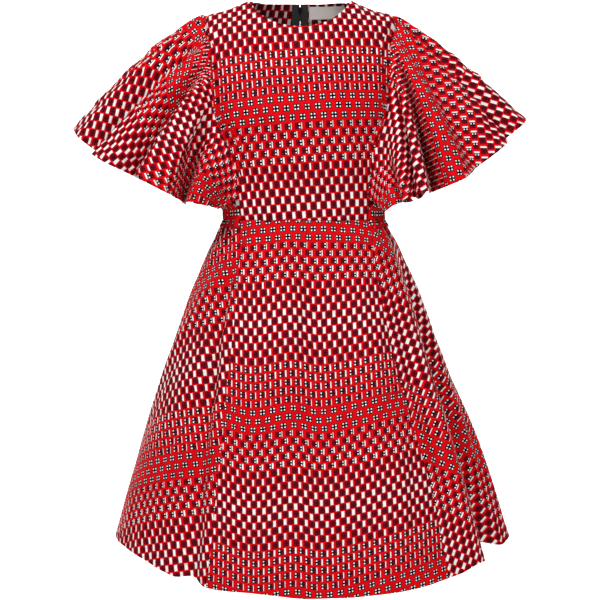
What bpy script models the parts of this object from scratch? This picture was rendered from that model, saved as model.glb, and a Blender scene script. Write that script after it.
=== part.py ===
"""A knee-length wax print dress with flounce sleeves, as it hangs from a wearer's shoulders.

Metres, +Z up, the front faces -Y, and left and right are a viewer's who faces the front.
The origin lies midway between the tops of the two shoulder seams.
"""

import math
from collections import namedtuple

import bmesh
import bpy
from mathutils import Matrix, Vector

# Cloth and seams
CLOTH = 0.0016
SEAM_GAP = 0.0005
LAP_GAP = 0.0003
RIGHT_ANGLE = math.pi / 2
FULL_TURN = 2 * math.pi
# How far apart, in a surface's own numbers, the points are that a slope is worked out from
SLOPE_STEP = 0.004
# Keeps the normals of the nearly level shoulders pointing up
NORMAL_RISE = 0.02

# Closing at the centre of the back
BACK_SLIT = 0.0020
TAPE_WIDTH = 0.0145
TAPE_THICKNESS = 0.0008
TAPE_GAP = 0.0008
COIL_WIDTH = 0.0042
COIL_THICKNESS = 0.0013
TAPE_START_ROW = 0.04
COIL_START_ROW = 0.66
ZIP_END_ROW = 2.0

# Label inside the back of the neck
LABEL_NEAR_X = 0.0165
LABEL_FAR_X = 0.0800
LABEL_TOP_ROW = 0.16
LABEL_LOW_ROW = 0.98
LABEL_THICKNESS = 0.0008
LABEL_ROWS = 2
LABEL_COLUMNS = 8

# How square the sections are: 1 is an ellipse, less is squarer
BODICE_SQUARENESS = 0.85
HEM_SQUARENESS = 1.0
# How late a section's height changes from its sides to its middle: more is nearer the middle
MIDDLE_POWER = 1.5
SIDES = (("left", -1), ("right", 1))

# Each row is one section round the body, from the neck edge down to the waist seam.
# The seam columns are the degrees from the centre front, or the centre back, of a panel's edge.
BodiceRow = namedtuple(
    "BodiceRow",
    "name centre_x front_y front_z side_x side_z back_y back_z"
    " front_left front_right back_left back_right",
)
BODICE = (
    BodiceRow("neck edge", 0, -0.072, -0.056, 0.088, -0.003, 0.066, 0.000, 90, 90, 90, 90),
    BodiceRow("mid shoulder", 0, -0.078, -0.070, 0.128, -0.0195, 0.076, -0.026, 90, 90, 90, 90),
    BodiceRow("shoulder tip", 0, -0.086, -0.087, 0.163, -0.031, 0.086, -0.048, 90, 90, 90, 90),
    BodiceRow("upper armhole", 0, -0.098, -0.118, 0.170, -0.080, 0.098, -0.088, 66, 66, 67, 67),
    BodiceRow("across chest", 0, -0.112, -0.160, 0.168, -0.132, 0.105, -0.136, 65, 65, 66, 66),
    BodiceRow("underarm", 0, -0.123, -0.208, 0.163, -0.197, 0.104, -0.200, 65, 65, 66, 66),
    BodiceRow("under bust", 0.003, -0.118, -0.272, 0.152, -0.268, 0.096, -0.268, 53, 53, 56, 56),
    BodiceRow("above waist", 0.006, -0.107, -0.332, 0.141, -0.330, 0.088, -0.330, 51, 51, 52, 52),
    BodiceRow("waist seam", 0.007, -0.102, -0.386, 0.137, -0.384, 0.086, -0.384, 50, 50, 50, 50),
)
UNDERARM = 5
WAIST = len(BODICE) - 1
BODICE_ROWS = [0, 0.5, 1, 1.6, 2, 2.25, 2.5, 3, 4, 5, 5.5, 6, 6.6, 7.2, 7.6, 8]

# Each row is one section of the skirt, from the waist seam down to the hem.
# The seam columns are degrees from the centre front or the centre back.
SkirtRow = namedtuple(
    "SkirtRow",
    "name centre_x front_y front_z side_x side_z back_y back_z"
    " front_left front_right back_left back_right",
)
SKIRT = (
    SkirtRow("waist seam", 0.007, -0.102, -0.3868, 0.137, -0.3848, 0.086, -0.3848, 50, 50, 50, 50),
    SkirtRow("high hip", 0.008, -0.119, -0.432, 0.163, -0.430, 0.108, -0.430, 40, 44, 44, 44),
    SkirtRow("hip", 0.009, -0.140, -0.502, 0.195, -0.496, 0.136, -0.498, 34, 38, 39, 39),
    SkirtRow("below hip", 0.009, -0.168, -0.606, 0.231, -0.592, 0.168, -0.598, 31, 37.6, 37, 37),
    SkirtRow("thigh", 0.012, -0.198, -0.730, 0.272, -0.708, 0.200, -0.716, 30, 39.2, 36, 36),
    SkirtRow("above knee", 0.015, -0.226, -0.866, 0.313, -0.830, 0.228, -0.842, 29.3, 41.6, 36, 36),
    SkirtRow("hem", 0.018, -0.252, -0.997, 0.348, -0.948, 0.250, -0.966, 29.8, 41.6, 36, 36),
)
HEM = len(SKIRT) - 1
SKIRT_ROWS = [0, 0.3, 0.7, 1.2, 1.8, 2.4, 3, 3.7, 4.4, 5.2, 6]

# Long folds of the skirt. Angles are in degrees from the centre front, negative to the left.
# depth is outward, hem_share is what is left of it at the hem, and lift raises the hem there.
SkirtFold = namedtuple(
    "SkirtFold", "name waist_angle hem_angle depth half_width start full hem_share lift"
)
SKIRT_FOLDS = (
    SkirtFold("left side swell", -62, -60, 0.002, 30, 1.0, 5.0, 1.0, 0.012),
    SkirtFold("left seam tuck", -45, -35.5, -0.017, 6.0, 0.5, 3.5, 1.0, 0.006),
    SkirtFold("left front swell", -12, -14, 0.007, 16, 0.8, 2.6, 0.35, 0.005),
    SkirtFold("front valley", 3, 5, -0.011, 8, 0.8, 2.8, 0.30, 0.0),
    SkirtFold("right front swell", 27, 28, 0.008, 12, 0.8, 3.0, 0.60, 0.0),
    SkirtFold("right side crest", 55, 53, 0.011, 8, 1.0, 5.0, 1.0, 0.008),
    SkirtFold("right side valley", 72, 66, -0.050, 10, 1.0, 5.0, 1.0, 0.016),
    SkirtFold("right back crest", 92, 83, 0.010, 11, 3.0, 6.0, 1.0, 0.004),
    SkirtFold("right back valley", 117, 118, -0.024, 12, 1.0, 5.5, 1.0, 0.010),
    SkirtFold("right back swell", 140, 141, 0.012, 12, 1.5, 5.5, 1.0, 0.0),
    SkirtFold("centre back valley", 161, 162, -0.016, 11, 2.4, 5.5, 1.0, 0.004),
    SkirtFold("left back valley", -160, -158, -0.020, 12, 2.4, 5.5, 1.0, 0.005),
    SkirtFold("left back swell", -138, -136, 0.012, 12, 1.5, 5.5, 1.0, 0.0),
    SkirtFold("left side valley", -115, -112, -0.026, 13, 1.0, 5.5, 1.0, 0.008),
)

# Facets across the panels without gathers
BODICE_FRONT_COLUMNS = 14
SKIRT_FRONT_COLUMNS = 18

# Gathers of the elastic waist, on the side and back panels, for each panel.
SIDE_GATHERS = 8
BACK_GATHERS = 5
GATHER_DEPTH = 0.0034
SKIRT_FADE_ROW = 2.2
BODICE_FADE_ROWS = 1.4

# Each row is one line round the waist casing, on the bodice's or the skirt's own points moved out.
CasingRow = namedtuple("CasingRow", "name on row out ruffle")
CASING = (
    CasingRow("frill edge", "bodice", 7.50, 0.0105, 0.0035),
    CasingRow("frill middle", "bodice", 7.62, 0.0058, 0.0018),
    CasingRow("frill root", "bodice", 7.75, 0.0024, 0.0),
    CasingRow("waist", "bodice", 8.00, 0.0032, 0.0),
    CasingRow("lower edge", "skirt", 0.28, 0.0024, 0.0),
)

# Each row is one strip of a flounce sleeve, from the seam that holds it out to its hem.
# turn goes from the back waist (-0.36) over the shoulder (0) to the front waist (0.36),
# and seam_row is the row of BODICE on the front or the back seam.
Strip = namedtuple("Strip", "name turn seam_row hem_x hem_y hem_z bulge")
LEFT_STRIPS = (
    Strip("back waist", -0.36, 7.35, 0.140, 0.094, -0.354, 0.002),
    Strip("low back", -0.27, 5.40, 0.205, 0.122, -0.346, 0.012),
    Strip("mid back", -0.18, 4.00, 0.285, 0.120, -0.304, 0.018),
    Strip("upper back", -0.09, 2.90, 0.352, 0.074, -0.262, 0.012),
    Strip("shoulder", 0.00, 1.93, 0.399, 0.000, -0.225, 0.018),
    Strip("upper front", 0.09, 2.90, 0.360, -0.080, -0.270, 0.014),
    Strip("mid front", 0.18, 4.00, 0.284, -0.132, -0.309, 0.018),
    Strip("low front", 0.27, 5.40, 0.192, -0.137, -0.352, 0.012),
    Strip("front waist", 0.36, 7.35, 0.138, -0.102, -0.366, 0.002),
)
RIGHT_STRIPS = (
    Strip("back waist", -0.36, 7.35, 0.150, 0.094, -0.354, 0.002),
    Strip("low back", -0.27, 5.40, 0.212, 0.122, -0.344, 0.012),
    Strip("mid back", -0.18, 4.00, 0.288, 0.120, -0.300, 0.018),
    Strip("upper back", -0.09, 2.90, 0.350, 0.074, -0.252, 0.010),
    Strip("shoulder", 0.00, 1.93, 0.399, 0.000, -0.210, 0.0105),
    Strip("upper front", 0.09, 2.40, 0.346, -0.086, -0.262, 0.011),
    Strip("mid front", 0.18, 2.85, 0.262, -0.140, -0.322, 0.014),
    Strip("gathered front", 0.25, 3.90, 0.202, -0.142, -0.340, 0.012),
    Strip("low front", 0.31, 5.60, 0.166, -0.132, -0.354, 0.008),
    Strip("front waist", 0.36, 7.35, 0.144, -0.104, -0.371, 0.002),
)

# Valleys between a sleeve's lobes. depth and lean are metres at the hem, and lean
# slides a valley's bed along the hem, so that the next lobe laps over it.
Valley = namedtuple("Valley", "turn half_width depth lean")
LEFT_VALLEYS = (
    Valley(-0.345, 0.022, 0.008, 0.000),
    Valley(-0.265, 0.036, 0.036, -0.006),
    Valley(-0.170, 0.038, 0.044, -0.012),
    Valley(-0.080, 0.034, 0.040, -0.014),
    Valley(0.072, 0.034, 0.048, 0.018),
    Valley(0.163, 0.038, 0.055, 0.016),
    Valley(0.258, 0.034, 0.048, 0.008),
    Valley(0.345, 0.022, 0.008, 0.000),
)
RIGHT_VALLEYS = (
    Valley(-0.345, 0.022, 0.008, 0.000),
    Valley(-0.260, 0.036, 0.038, -0.006),
    Valley(-0.164, 0.036, 0.042, -0.012),
    Valley(-0.078, 0.034, 0.038, -0.014),
    Valley(0.052, 0.030, 0.036, 0.018),
    Valley(0.128, 0.044, 0.018, 0.000),
    Valley(0.212, 0.032, 0.052, 0.010),
    Valley(0.268, 0.024, 0.024, 0.004),
    Valley(0.316, 0.022, 0.030, 0.003),
)
SLEEVE_END = 0.36
SHOULDER_TURNS = (-0.030, -0.012, 0.0, 0.012, 0.030)
SLEEVE_REACHES = (0, 0.12, 0.28, 0.46, 0.64, 0.82, 1)
# Columns of a sleeve stand no farther and no closer together than these, as turns
WIDEST_COLUMN = 0.030
NARROWEST_COLUMN = 0.005
DEEP_VALLEY = 0.012
# How fast the valleys deepen from the seam to the hem, and how narrow their lobes' necks are
FOLD_RISE = 0.8
NECK_PINCH = 0.16
# The cloth bulges most above its middle, along a direction that leans out from the body
BULGE_SKEW = 0.7
BULGE_ASIDE = 0.35
BULGE_FORE = 0.13
# How far the sleeve's edge lies over the bodice's, as an angle
SEAM_LAP = 0.03

# Slider and pull tab
SLIDER_ROW = 0.30
SLIDER_NECK_WIDTH = 0.0012
SLIDER_BODY = Vector((0.0062, 0.0022, 0.0085))
ARCH_WIDTH = 0.0012
ARCH_HEIGHT = 0.0072
ARCH_REACH = 0.0040
ARCH_WIRE = 0.0010
PULL_BAR_RADIUS = 0.0005
PULL_SLOT_WIDTH = 0.0022
PULL_LEG_WIDTH = 0.0011
PULL_THICKNESS = 0.0010
PULL_SLOT_LENGTH = 0.0055
PULL_NECK_LENGTH = 0.0138
PULL_LENGTH = 0.0230
PULL_TIP_WIDTH = 0.0052
# How far the boxes that make one solid run into each other
UNION_LAP = 0.0005

# Colours of the materials, as linear red, green and blue
PRINT_RED = (0.62, 0.012, 0.018)
TAPE_BLACK = (0.012, 0.013, 0.016)
LABEL_GREY = (0.55, 0.53, 0.50)
PULL_BLACK = (0.02, 0.02, 0.023)


def slopes(places, values):
    """Tangents at each place of a curve through the values that never overshoots them."""
    steps = [(values[i + 1] - values[i]) / (places[i + 1] - places[i]) for i in range(len(values) - 1)]
    tangents = [steps[0]]
    for before, after in zip(steps, steps[1:]):
        same_way = before * after > 0
        tangents.append(2 * before * after / (before + after) if same_way else 0.0)
    tangents.append(steps[-1])
    return tangents


def through(places, values, at):
    """A smooth curve through the values, read at one place, and straight beyond its ends."""
    tangents = slopes(places, values)
    for end in (0, -1):
        beyond = at - places[end]
        if (beyond > 0) == (end == -1):
            return values[end] + tangents[end] * beyond
    i = min(sum(1 for p in places if p <= at) - 1, len(places) - 2)
    span = places[i + 1] - places[i]
    s = (at - places[i]) / span
    start = (1 + 2 * s) * (1 - s) ** 2 * values[i] + s * (1 - s) ** 2 * span * tangents[i]
    end = s * s * (3 - 2 * s) * values[i + 1] + s * s * (s - 1) * span * tangents[i + 1]
    return start + end


def column(table, name, at):
    """One named column of a table of rows, at a place between rows."""
    return through(list(range(len(table))), [getattr(row, name) for row in table], at)


def power(base, exponent):
    return max(base, 0.0) ** exponent


def smooth_step(s):
    s = min(max(s, 0.0), 1.0)
    return s * s * (3 - 2 * s)


def hump(s):
    """1 at 0, falling smoothly to 0 at -1 and 1."""
    return (1 + math.cos(math.pi * s)) / 2 if abs(s) < 1 else 0.0


def section_point(row, angle, squareness):
    """A point on one section: angle runs from the centre front, positive to the right."""
    angle = math.remainder(angle, FULL_TURN)
    away = abs(angle)
    across = math.copysign(power(math.sin(away), squareness), angle)
    toward = abs(math.cos(away))
    front = away <= RIGHT_ANGLE
    depth = row["front_y"] if front else row["back_y"]
    middle_z = row["front_z"] if front else row["back_z"]
    return Vector(
        (
            row["centre_x"] + row["side_x"] * across,
            depth * power(toward, squareness),
            row["side_z"] + (middle_z - row["side_z"]) * power(toward, MIDDLE_POWER),
        )
    )


def section(table, at):
    names = ("centre_x", "front_y", "front_z", "side_x", "side_z", "back_y", "back_z")
    return {name: column(table, name, at) for name in names}


def seam_angles(table, side, at):
    """The angles of the front and the back seam at one row, without their sign."""
    word = "right" if side > 0 else "left"
    front = math.radians(column(table, f"front_{word}", at))
    back = math.pi - math.radians(column(table, f"back_{word}", at))
    return front, back


def squareness_at(table, at):
    """How square a section is: the bodice's all alike, the skirt's rounder to the hem."""
    if table is BODICE:
        return BODICE_SQUARENESS
    return BODICE_SQUARENESS + (HEM_SQUARENESS - BODICE_SQUARENESS) * at / HEM


def outward(surface, a, b):
    """The unit normal of a surface of two numbers, away from the body's middle line."""
    step = SLOPE_STEP
    along_a = surface(a + step, b) - surface(a - step, b)
    along_b = surface(a, b + step) - surface(a, b - step)
    normal = along_a.cross(along_b).normalized()
    point = surface(a, b)
    return normal if normal.dot(Vector((point.x, point.y, NORMAL_RISE))) > 0 else -normal


def sideways(surface, angle, at):
    """The outward normal laid level, so that two rows that meet stay at their heights."""
    normal = outward(surface, angle, at)
    normal.z = 0
    return normal.normalized()


def skirt_folds(angle, at):
    """How far the skirt's cloth stands out of its plain section, and how far up it is drawn."""
    degrees = math.degrees(angle)
    depth = 0.0
    lift = 0.0
    for fold in SKIRT_FOLDS:
        middle = fold.waist_angle + (fold.hem_angle - fold.waist_angle) * at / HEM
        apart = (degrees - middle + 180) % 360 - 180
        grown = smooth_step((at - fold.start) / (fold.full - fold.start))
        kept = 1 - (1 - fold.hem_share) * smooth_step((at - fold.full) / (HEM - fold.full + 0.5))
        depth += fold.depth * grown * kept * hump(apart / fold.half_width)
        lift += fold.lift * (at / HEM) ** 2 * hump(apart / fold.half_width)
    return depth, lift


def gather_wave(table, angle, at):
    """The wave of the waist's gathers, from 0 in a trough to 1 on a crest."""
    angle = math.remainder(angle, FULL_TURN)
    front, back = seam_angles(table, 1 if angle > 0 else -1, at)
    away = abs(angle)
    if away <= front:
        return 0.0
    if away < back:
        return (1 - math.cos(FULL_TURN * SIDE_GATHERS * (away - front) / (back - front))) / 2
    return (1 - math.cos(FULL_TURN * BACK_GATHERS * (away - back) / (math.pi - back))) / 2


def plain_bodice_point(angle, at):
    return section_point(section(BODICE, at), angle, BODICE_SQUARENESS)


def bodice_point(angle, at):
    point = plain_bodice_point(angle, at)
    near_waist = 1 - smooth_step((WAIST - at) / BODICE_FADE_ROWS)
    if near_waist <= 0:
        return point
    depth = GATHER_DEPTH * gather_wave(BODICE, angle, at) * near_waist
    return point + depth * sideways(plain_bodice_point, angle, at)


def plain_skirt_point(angle, at):
    return section_point(section(SKIRT, at), angle, squareness_at(SKIRT, at))


def skirt_point(angle, at):
    near_waist = 1 - smooth_step(at / SKIRT_FADE_ROW)
    depth, lift = skirt_folds(angle, at)
    depth += GATHER_DEPTH * gather_wave(SKIRT, angle, at) * near_waist
    point = plain_skirt_point(angle, at) + depth * sideways(plain_skirt_point, angle, at)
    point.z += lift
    return point


def sleeve_base(strips, side, turn, reach):
    """The sleeve without its folds: reach is 0 at the seam and 1 at the hem."""
    turns = [strip.turn for strip in strips]

    def at_turn(name):
        return through(turns, [getattr(strip, name) for strip in strips], turn)

    row = at_turn("seam_row")
    front, back = seam_angles(BODICE, side, row)
    angle = side * (back + SEAM_LAP if turn < 0 else front - SEAM_LAP)
    seam = plain_bodice_point(angle, row)
    seam += outward(plain_bodice_point, angle, row) * (CLOTH + LAP_GAP)
    hem = Vector((side * at_turn("hem_x"), at_turn("hem_y"), at_turn("hem_z")))
    chord = hem - seam
    away = Vector((BULGE_ASIDE * side, at_turn("hem_y") / BULGE_FORE, 1.0))
    away -= chord * (away.dot(chord) / chord.length_squared)
    skewed = power(reach, BULGE_SKEW)
    bulge = at_turn("bulge") * 4 * skewed * (1 - skewed)
    return seam + chord * reach + away.normalized() * bulge


def sleeve_point(strips, valleys, side, turn, reach):
    """The sleeve with its valleys pressed in and its lobes lapping over them."""

    def base(a, b):
        return sleeve_base(strips, side, a, b)

    step = SLOPE_STEP
    along = base(turn + step, reach) - base(turn - step, reach)
    outwards = base(turn, min(reach + step, 1.0)) - base(turn, max(reach - step, 0.0))
    normal = along.cross(outwards).normalized() * side
    metres_per_turn = along.length / (2 * step)
    along.normalize()
    inward = 0.0
    slide = 0.0
    for valley in valleys:
        apart = (turn - valley.turn) / valley.half_width
        inward += valley.depth * hump(apart)
        slide += valley.lean * hump(apart)
        if abs(apart) < 1 and valley.lean:
            pinch = NECK_PINCH * valley.half_width * metres_per_turn
            slide -= pinch * math.sin(math.pi * apart)
    rise = power(reach, FOLD_RISE)
    return base(turn, reach) - normal * (inward * rise) + along * (slide * rise)


def material(name, colour, roughness, metallic=0.0):
    made = bpy.data.materials.new(name)
    made.use_nodes = True
    shader = made.node_tree.nodes["Principled BSDF"]
    shader.inputs["Base Color"].default_value = (*colour, 1)
    shader.inputs["Roughness"].default_value = roughness
    shader.inputs["Metallic"].default_value = metallic
    return made


def add_object(name, mesh, surface_material):
    made = bpy.data.objects.new(name, mesh)
    mesh.materials.append(surface_material)
    parts.objects.link(made)
    return made


def grid_normals(points):
    """A normal for each point of a grid, from the points beside it."""
    last_row = len(points) - 1
    last = len(points[0]) - 1
    normals = []
    for r, row in enumerate(points):
        above = points[max(r - 1, 0)]
        below = points[min(r + 1, last_row)]
        normals.append([])
        for c in range(last + 1):
            across = row[min(c + 1, last)] - row[max(c - 1, 0)]
            normals[-1].append((below[c] - above[c]).cross(across).normalized())
    return normals


def moved(points, normals, distance):
    """The grid moved along its normals."""
    return [
        [p + n * distance for p, n in zip(row, row_normals)]
        for row, row_normals in zip(points, normals)
    ]


def wall(name, points, normals, surface_material, thickness=CLOTH):
    """A closed wall: its outer face through a grid of points, its inner face behind them."""
    inner_points = moved(points, normals, -thickness)
    shape = bmesh.new()
    outer = [[shape.verts.new(p) for p in row] for row in points]
    inner = [[shape.verts.new(p) for p in row] for row in inner_points]
    for face, turned in ((outer, False), (inner, True)):
        for upper, lower in zip(face, face[1:]):
            for c in range(len(upper) - 1):
                corners = (upper[c], lower[c], lower[c + 1], upper[c + 1])
                shape.faces.new(corners[::-1] if turned else corners)
    down_left = [row[0] for row in outer], [row[0] for row in inner]
    down_right = [row[-1] for row in outer], [row[-1] for row in inner]
    rims = ((outer[0], inner[0]), down_right, (outer[-1][::-1], inner[-1][::-1]))
    for near, far in rims + ((down_left[0][::-1], down_left[1][::-1]),):
        for i in range(len(near) - 1):
            shape.faces.new((near[i], near[i + 1], far[i + 1], far[i]))
    mesh = bpy.data.meshes.new(name)
    shape.to_mesh(mesh)
    shape.free()
    mesh.shade_smooth()
    return add_object(name, mesh, surface_material)


def spread(first, last, count):
    return [first + (last - first) * i / count for i in range(count + 1)]


def gap_angle(at, table):
    """Half a seam's gap, as an angle."""
    return 0.5 * SEAM_GAP / column(table, "side_x", at)


def slit_angle(table, at):
    """Half the slit at the centre of the back, as an angle from straight back."""
    share = 0.5 * BACK_SLIT / column(table, "side_x", at)
    return math.asin(power(share, 1 / squareness_at(table, at)))


def edges(table, piece, side, at):
    """The angles of a panel's two edges at one row, in rising order."""
    gap = gap_angle(at, table)
    if piece == "front":
        return -seam_angles(table, -1, at)[0] + gap, seam_angles(table, 1, at)[0] - gap
    front, back = seam_angles(table, side, at)
    if piece == "side":
        near, far = front + gap, back - gap
    else:
        near, far = back + gap, math.pi - slit_angle(table, at)
    return (near, far) if side > 0 else (-far, -near)


def panel(name, surface, table, piece, side, rows, columns, cloth):
    """One panel of cloth, from its left edge to its right one as it faces out."""
    points = []
    normals = []
    for at in rows:
        angles = spread(*edges(table, piece, side, at), columns)
        points.append([surface(angle, at) for angle in angles])
        normals.append([outward(surface, angle, at) for angle in angles])
    wall(name, points, normals, cloth)


def build_bodice(cloth):
    panel("bodice_front", bodice_point, BODICE, "front", 0, BODICE_ROWS, BODICE_FRONT_COLUMNS, cloth)
    under_arm = [at for at in BODICE_ROWS if at >= UNDERARM]
    side_columns = 2 * SIDE_GATHERS
    back_columns = 2 * BACK_GATHERS
    for word, side in SIDES:
        place = (bodice_point, BODICE)
        panel(f"bodice_back_{word}", *place, "back", side, BODICE_ROWS, back_columns, cloth)
        panel(f"bodice_side_{word}", *place, "side", side, under_arm, side_columns, cloth)


def build_skirt(cloth):
    place = (skirt_point, SKIRT)
    panel("skirt_front", *place, "front", 0, SKIRT_ROWS, SKIRT_FRONT_COLUMNS, cloth)
    for word, side in SIDES:
        panel(f"skirt_side_{word}", *place, "side", side, SKIRT_ROWS, 2 * SIDE_GATHERS, cloth)
        panel(f"skirt_back_{word}", *place, "back", side, SKIRT_ROWS, 2 * BACK_GATHERS, cloth)


def casing_point(row, angle):
    """A point of the waist casing, outside the gathered cloth."""
    if row.on == "bodice":
        table, surface, plain = BODICE, bodice_point, plain_bodice_point
    else:
        table, surface, plain = SKIRT, skirt_point, plain_skirt_point
    out = row.out + row.ruffle * gather_wave(table, angle, row.row)
    return surface(angle, row.row) + sideways(plain, angle, row.row) * out


def build_casings(cloth):
    for word, side in SIDES:
        points = []
        for row in CASING:
            table = BODICE if row.on == "bodice" else SKIRT
            flank = spread(*edges(table, "side", side, row.row), 2 * SIDE_GATHERS)
            back = spread(*edges(table, "back", side, row.row), 2 * BACK_GATHERS)
            angles = flank[:-1] + back if side > 0 else back[:-1] + flank
            points.append([casing_point(row, angle) for angle in angles])
        wall(f"waist_casing_{word}", points, grid_normals(points), cloth)


def sleeve_turns(valleys):
    """Columns of a sleeve: close together in its valleys and at the shoulder, fewer on lobes."""
    turns = [-SLEEVE_END, SLEEVE_END] + list(SHOULDER_TURNS)
    for valley in valleys:
        shares = (-1, -0.55, -0.2, 0.2, 0.55, 1) if valley.depth > DEEP_VALLEY else (-0.6, 0, 0.6)
        turns += [valley.turn + valley.half_width * share for share in shares]
    turns = [t for t in sorted(turns) if abs(t) <= SLEEVE_END]
    kept = turns[:1]
    for turn in turns[1:]:
        if turn - kept[-1] > WIDEST_COLUMN:
            kept.append((turn + kept[-1]) / 2)
        if turn - kept[-1] > NARROWEST_COLUMN:
            kept.append(turn)
    return kept


def build_sleeves(cloth):
    for word, side, strips, valleys in (
        ("left", -1, LEFT_STRIPS, LEFT_VALLEYS),
        ("right", 1, RIGHT_STRIPS, RIGHT_VALLEYS),
    ):
        turns = sleeve_turns(valleys)
        points = [
            [sleeve_point(strips, valleys, side, turn, reach) for turn in turns]
            for reach in SLEEVE_REACHES
        ]
        if side > 0:
            points = [row[::-1] for row in points]
        wall(f"sleeve_{word}", points, grid_normals(points), cloth)


def back_rows():
    """Rows of the two back panels without gathers, each as its height in rows and its points."""
    rows = []
    for first, table, surface, places in (
        (0, BODICE, plain_bodice_point, BODICE_ROWS),
        (WAIST, SKIRT, plain_skirt_point, SKIRT_ROWS[1:]),
    ):
        for at in places:
            points = []
            for side in (1, -1):
                angles = spread(*edges(table, "back", side, at), 2 * BACK_GATHERS)
                points += [surface(angle, at) for angle in angles]
            centre = column(table, "centre_x", at)
            rows.append((first + at, centre, points))
    return rows


def along_row(points, x):
    """The point at one x on a row of straight facets that runs from high x to low x."""
    for right, left in zip(points, points[1:]):
        if left.x <= x:
            break
    share = (x - right.x) / (left.x - right.x)
    return right.lerp(left, share)


def back_facet_point(rows, x, at):
    """A point on the facets of the back, x away from its centre line."""
    for upper, lower in zip(rows, rows[1:]):
        if at <= lower[0]:
            break
    share = (at - upper[0]) / (lower[0] - upper[0])
    return along_row(upper[2], upper[1] + x).lerp(along_row(lower[2], lower[1] + x), share)


def back_strip(name, xs, places, depth, thickness, surface_material):
    """A strip inside the back: depth is how far its outer face lies inside the cloth's."""
    rows = back_rows()
    points = [[back_facet_point(rows, x, at) for x in sorted(xs)[::-1]] for at in places]
    normals = grid_normals(points)
    wall(name, moved(points, normals, -depth), normals, surface_material, thickness)


def zip_places():
    """The rows of the tapes, from just under the neck edge to their low ends in the skirt."""
    bodice = [TAPE_START_ROW] + BODICE_ROWS[1:]
    return bodice + [WAIST + at for at in SKIRT_ROWS if 0 < at <= ZIP_END_ROW]


def build_zip(tape, coil):
    edge = BACK_SLIT / 2
    under_cloth = CLOTH + TAPE_GAP
    for word, side in SIDES:
        xs = [side * x for x in (edge, 0.5 * (edge + TAPE_WIDTH), TAPE_WIDTH)]
        back_strip(f"zip_tape_{word}", xs, zip_places(), under_cloth, TAPE_THICKNESS, tape)
    coil_places = [COIL_START_ROW] + [at for at in zip_places() if at > COIL_START_ROW]
    half = COIL_WIDTH / 2
    depth = under_cloth + TAPE_THICKNESS + LAP_GAP
    back_strip("zip_coil", [-half, 0, half], coil_places, depth, COIL_THICKNESS, coil)


def box(shape, low, high):
    """Adds a box between two corners to a bmesh."""
    size = high - low
    place = Matrix.Translation((low + high) / 2) @ Matrix.Diagonal((*size, 1))
    bmesh.ops.create_cube(shape, size=1, matrix=place)


def united(name, boxes, place, surface_material):
    """One solid from boxes that overlap, given by their corners, put at a place."""
    made = None
    for i, (low, high) in enumerate(boxes):
        shape = bmesh.new()
        box(shape, Vector(low), Vector(high))
        mesh = bpy.data.meshes.new(f"{name}_{i}")
        shape.to_mesh(mesh)
        shape.free()
        if made is None:
            made = add_object(name, mesh, surface_material)
            continue
        guide = bpy.data.objects.new(f"{name}_add_{i}", mesh)
        guide.hide_render = True
        guide.display_type = "WIRE"
        guide.matrix_world = place
        cutters.objects.link(guide)
        union = made.modifiers.new("Union", "BOOLEAN")
        union.operation = "UNION"
        union.object = guide
    made.matrix_world = place
    return made


def build_slider(black):
    """The slider inside the closing, with an arch outside that holds the pull tab's bar."""
    rows = back_rows()
    here = back_facet_point(rows, 0.0, SLIDER_ROW)
    below = back_facet_point(rows, 0.0, SLIDER_ROW + 0.3)
    down = (below - here).normalized()
    out = Vector((1, 0, 0)).cross(-down).normalized()
    out = out if out.y > 0 else -out
    turn = Matrix((Vector((1, 0, 0)), out, -down)).transposed().to_4x4()
    place = Matrix.Translation(here) @ turn
    half_neck = SLIDER_NECK_WIDTH / 2
    half_body = SLIDER_BODY.x / 2
    half_tall = SLIDER_BODY.z / 2
    half_arch = ARCH_HEIGHT / 2
    half_wire = ARCH_WIDTH / 2
    body_out = -(CLOTH + TAPE_GAP + TAPE_THICKNESS + LAP_GAP)
    foot_in = LAP_GAP
    foot_out = foot_in + ARCH_WIRE
    arch_in = ARCH_REACH - ARCH_WIRE
    boxes = [
        ((-half_body, body_out - SLIDER_BODY.y, -half_tall), (half_body, body_out, half_tall)),
        ((-half_neck, body_out - UNION_LAP, -half_arch), (half_neck, foot_out, half_arch)),
        ((-half_wire, foot_in, half_arch - ARCH_WIRE), (half_wire, ARCH_REACH, half_arch)),
        ((-half_wire, foot_in, -half_arch), (half_wire, ARCH_REACH, ARCH_WIRE - half_arch)),
        ((-half_wire, arch_in, -half_arch), (half_wire, ARCH_REACH, half_arch)),
    ]
    united("zip_slider", boxes, place, black)
    build_pull(black, place @ Matrix.Translation((0, (foot_out + arch_in) / 2, 0)))


def build_pull(black, pivot):
    """The pull tab, its bar on its own origin, hanging against the back."""
    bar = PULL_BAR_RADIUS
    half_slot = PULL_SLOT_WIDTH / 2
    outer = half_slot + PULL_LEG_WIDTH
    half_thick = PULL_THICKNESS / 2
    leg_end = -PULL_SLOT_LENGTH - UNION_LAP
    neck_end = -PULL_NECK_LENGTH - UNION_LAP
    boxes = [
        ((-outer, -bar, -bar), (outer, bar, bar)),
        ((-outer, -half_thick, leg_end), (-half_slot, half_thick, bar)),
        ((half_slot, -half_thick, leg_end), (outer, half_thick, bar)),
        ((-outer, -half_thick, neck_end), (outer, half_thick, -PULL_SLOT_LENGTH)),
        (
            (-PULL_TIP_WIDTH / 2, -half_thick, -PULL_LENGTH),
            (PULL_TIP_WIDTH / 2, half_thick, -PULL_NECK_LENGTH),
        ),
    ]
    united("zip_pull", boxes, pivot, black)


def build_label(satin):
    """A plain woven label inside the back of the neck, beside the closing."""
    rows = spread(LABEL_TOP_ROW, LABEL_LOW_ROW, LABEL_ROWS)
    xs = spread(LABEL_NEAR_X, LABEL_FAR_X, LABEL_COLUMNS)
    back_strip("neck_label", xs, rows, CLOTH + LAP_GAP, LABEL_THICKNESS, satin)


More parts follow.
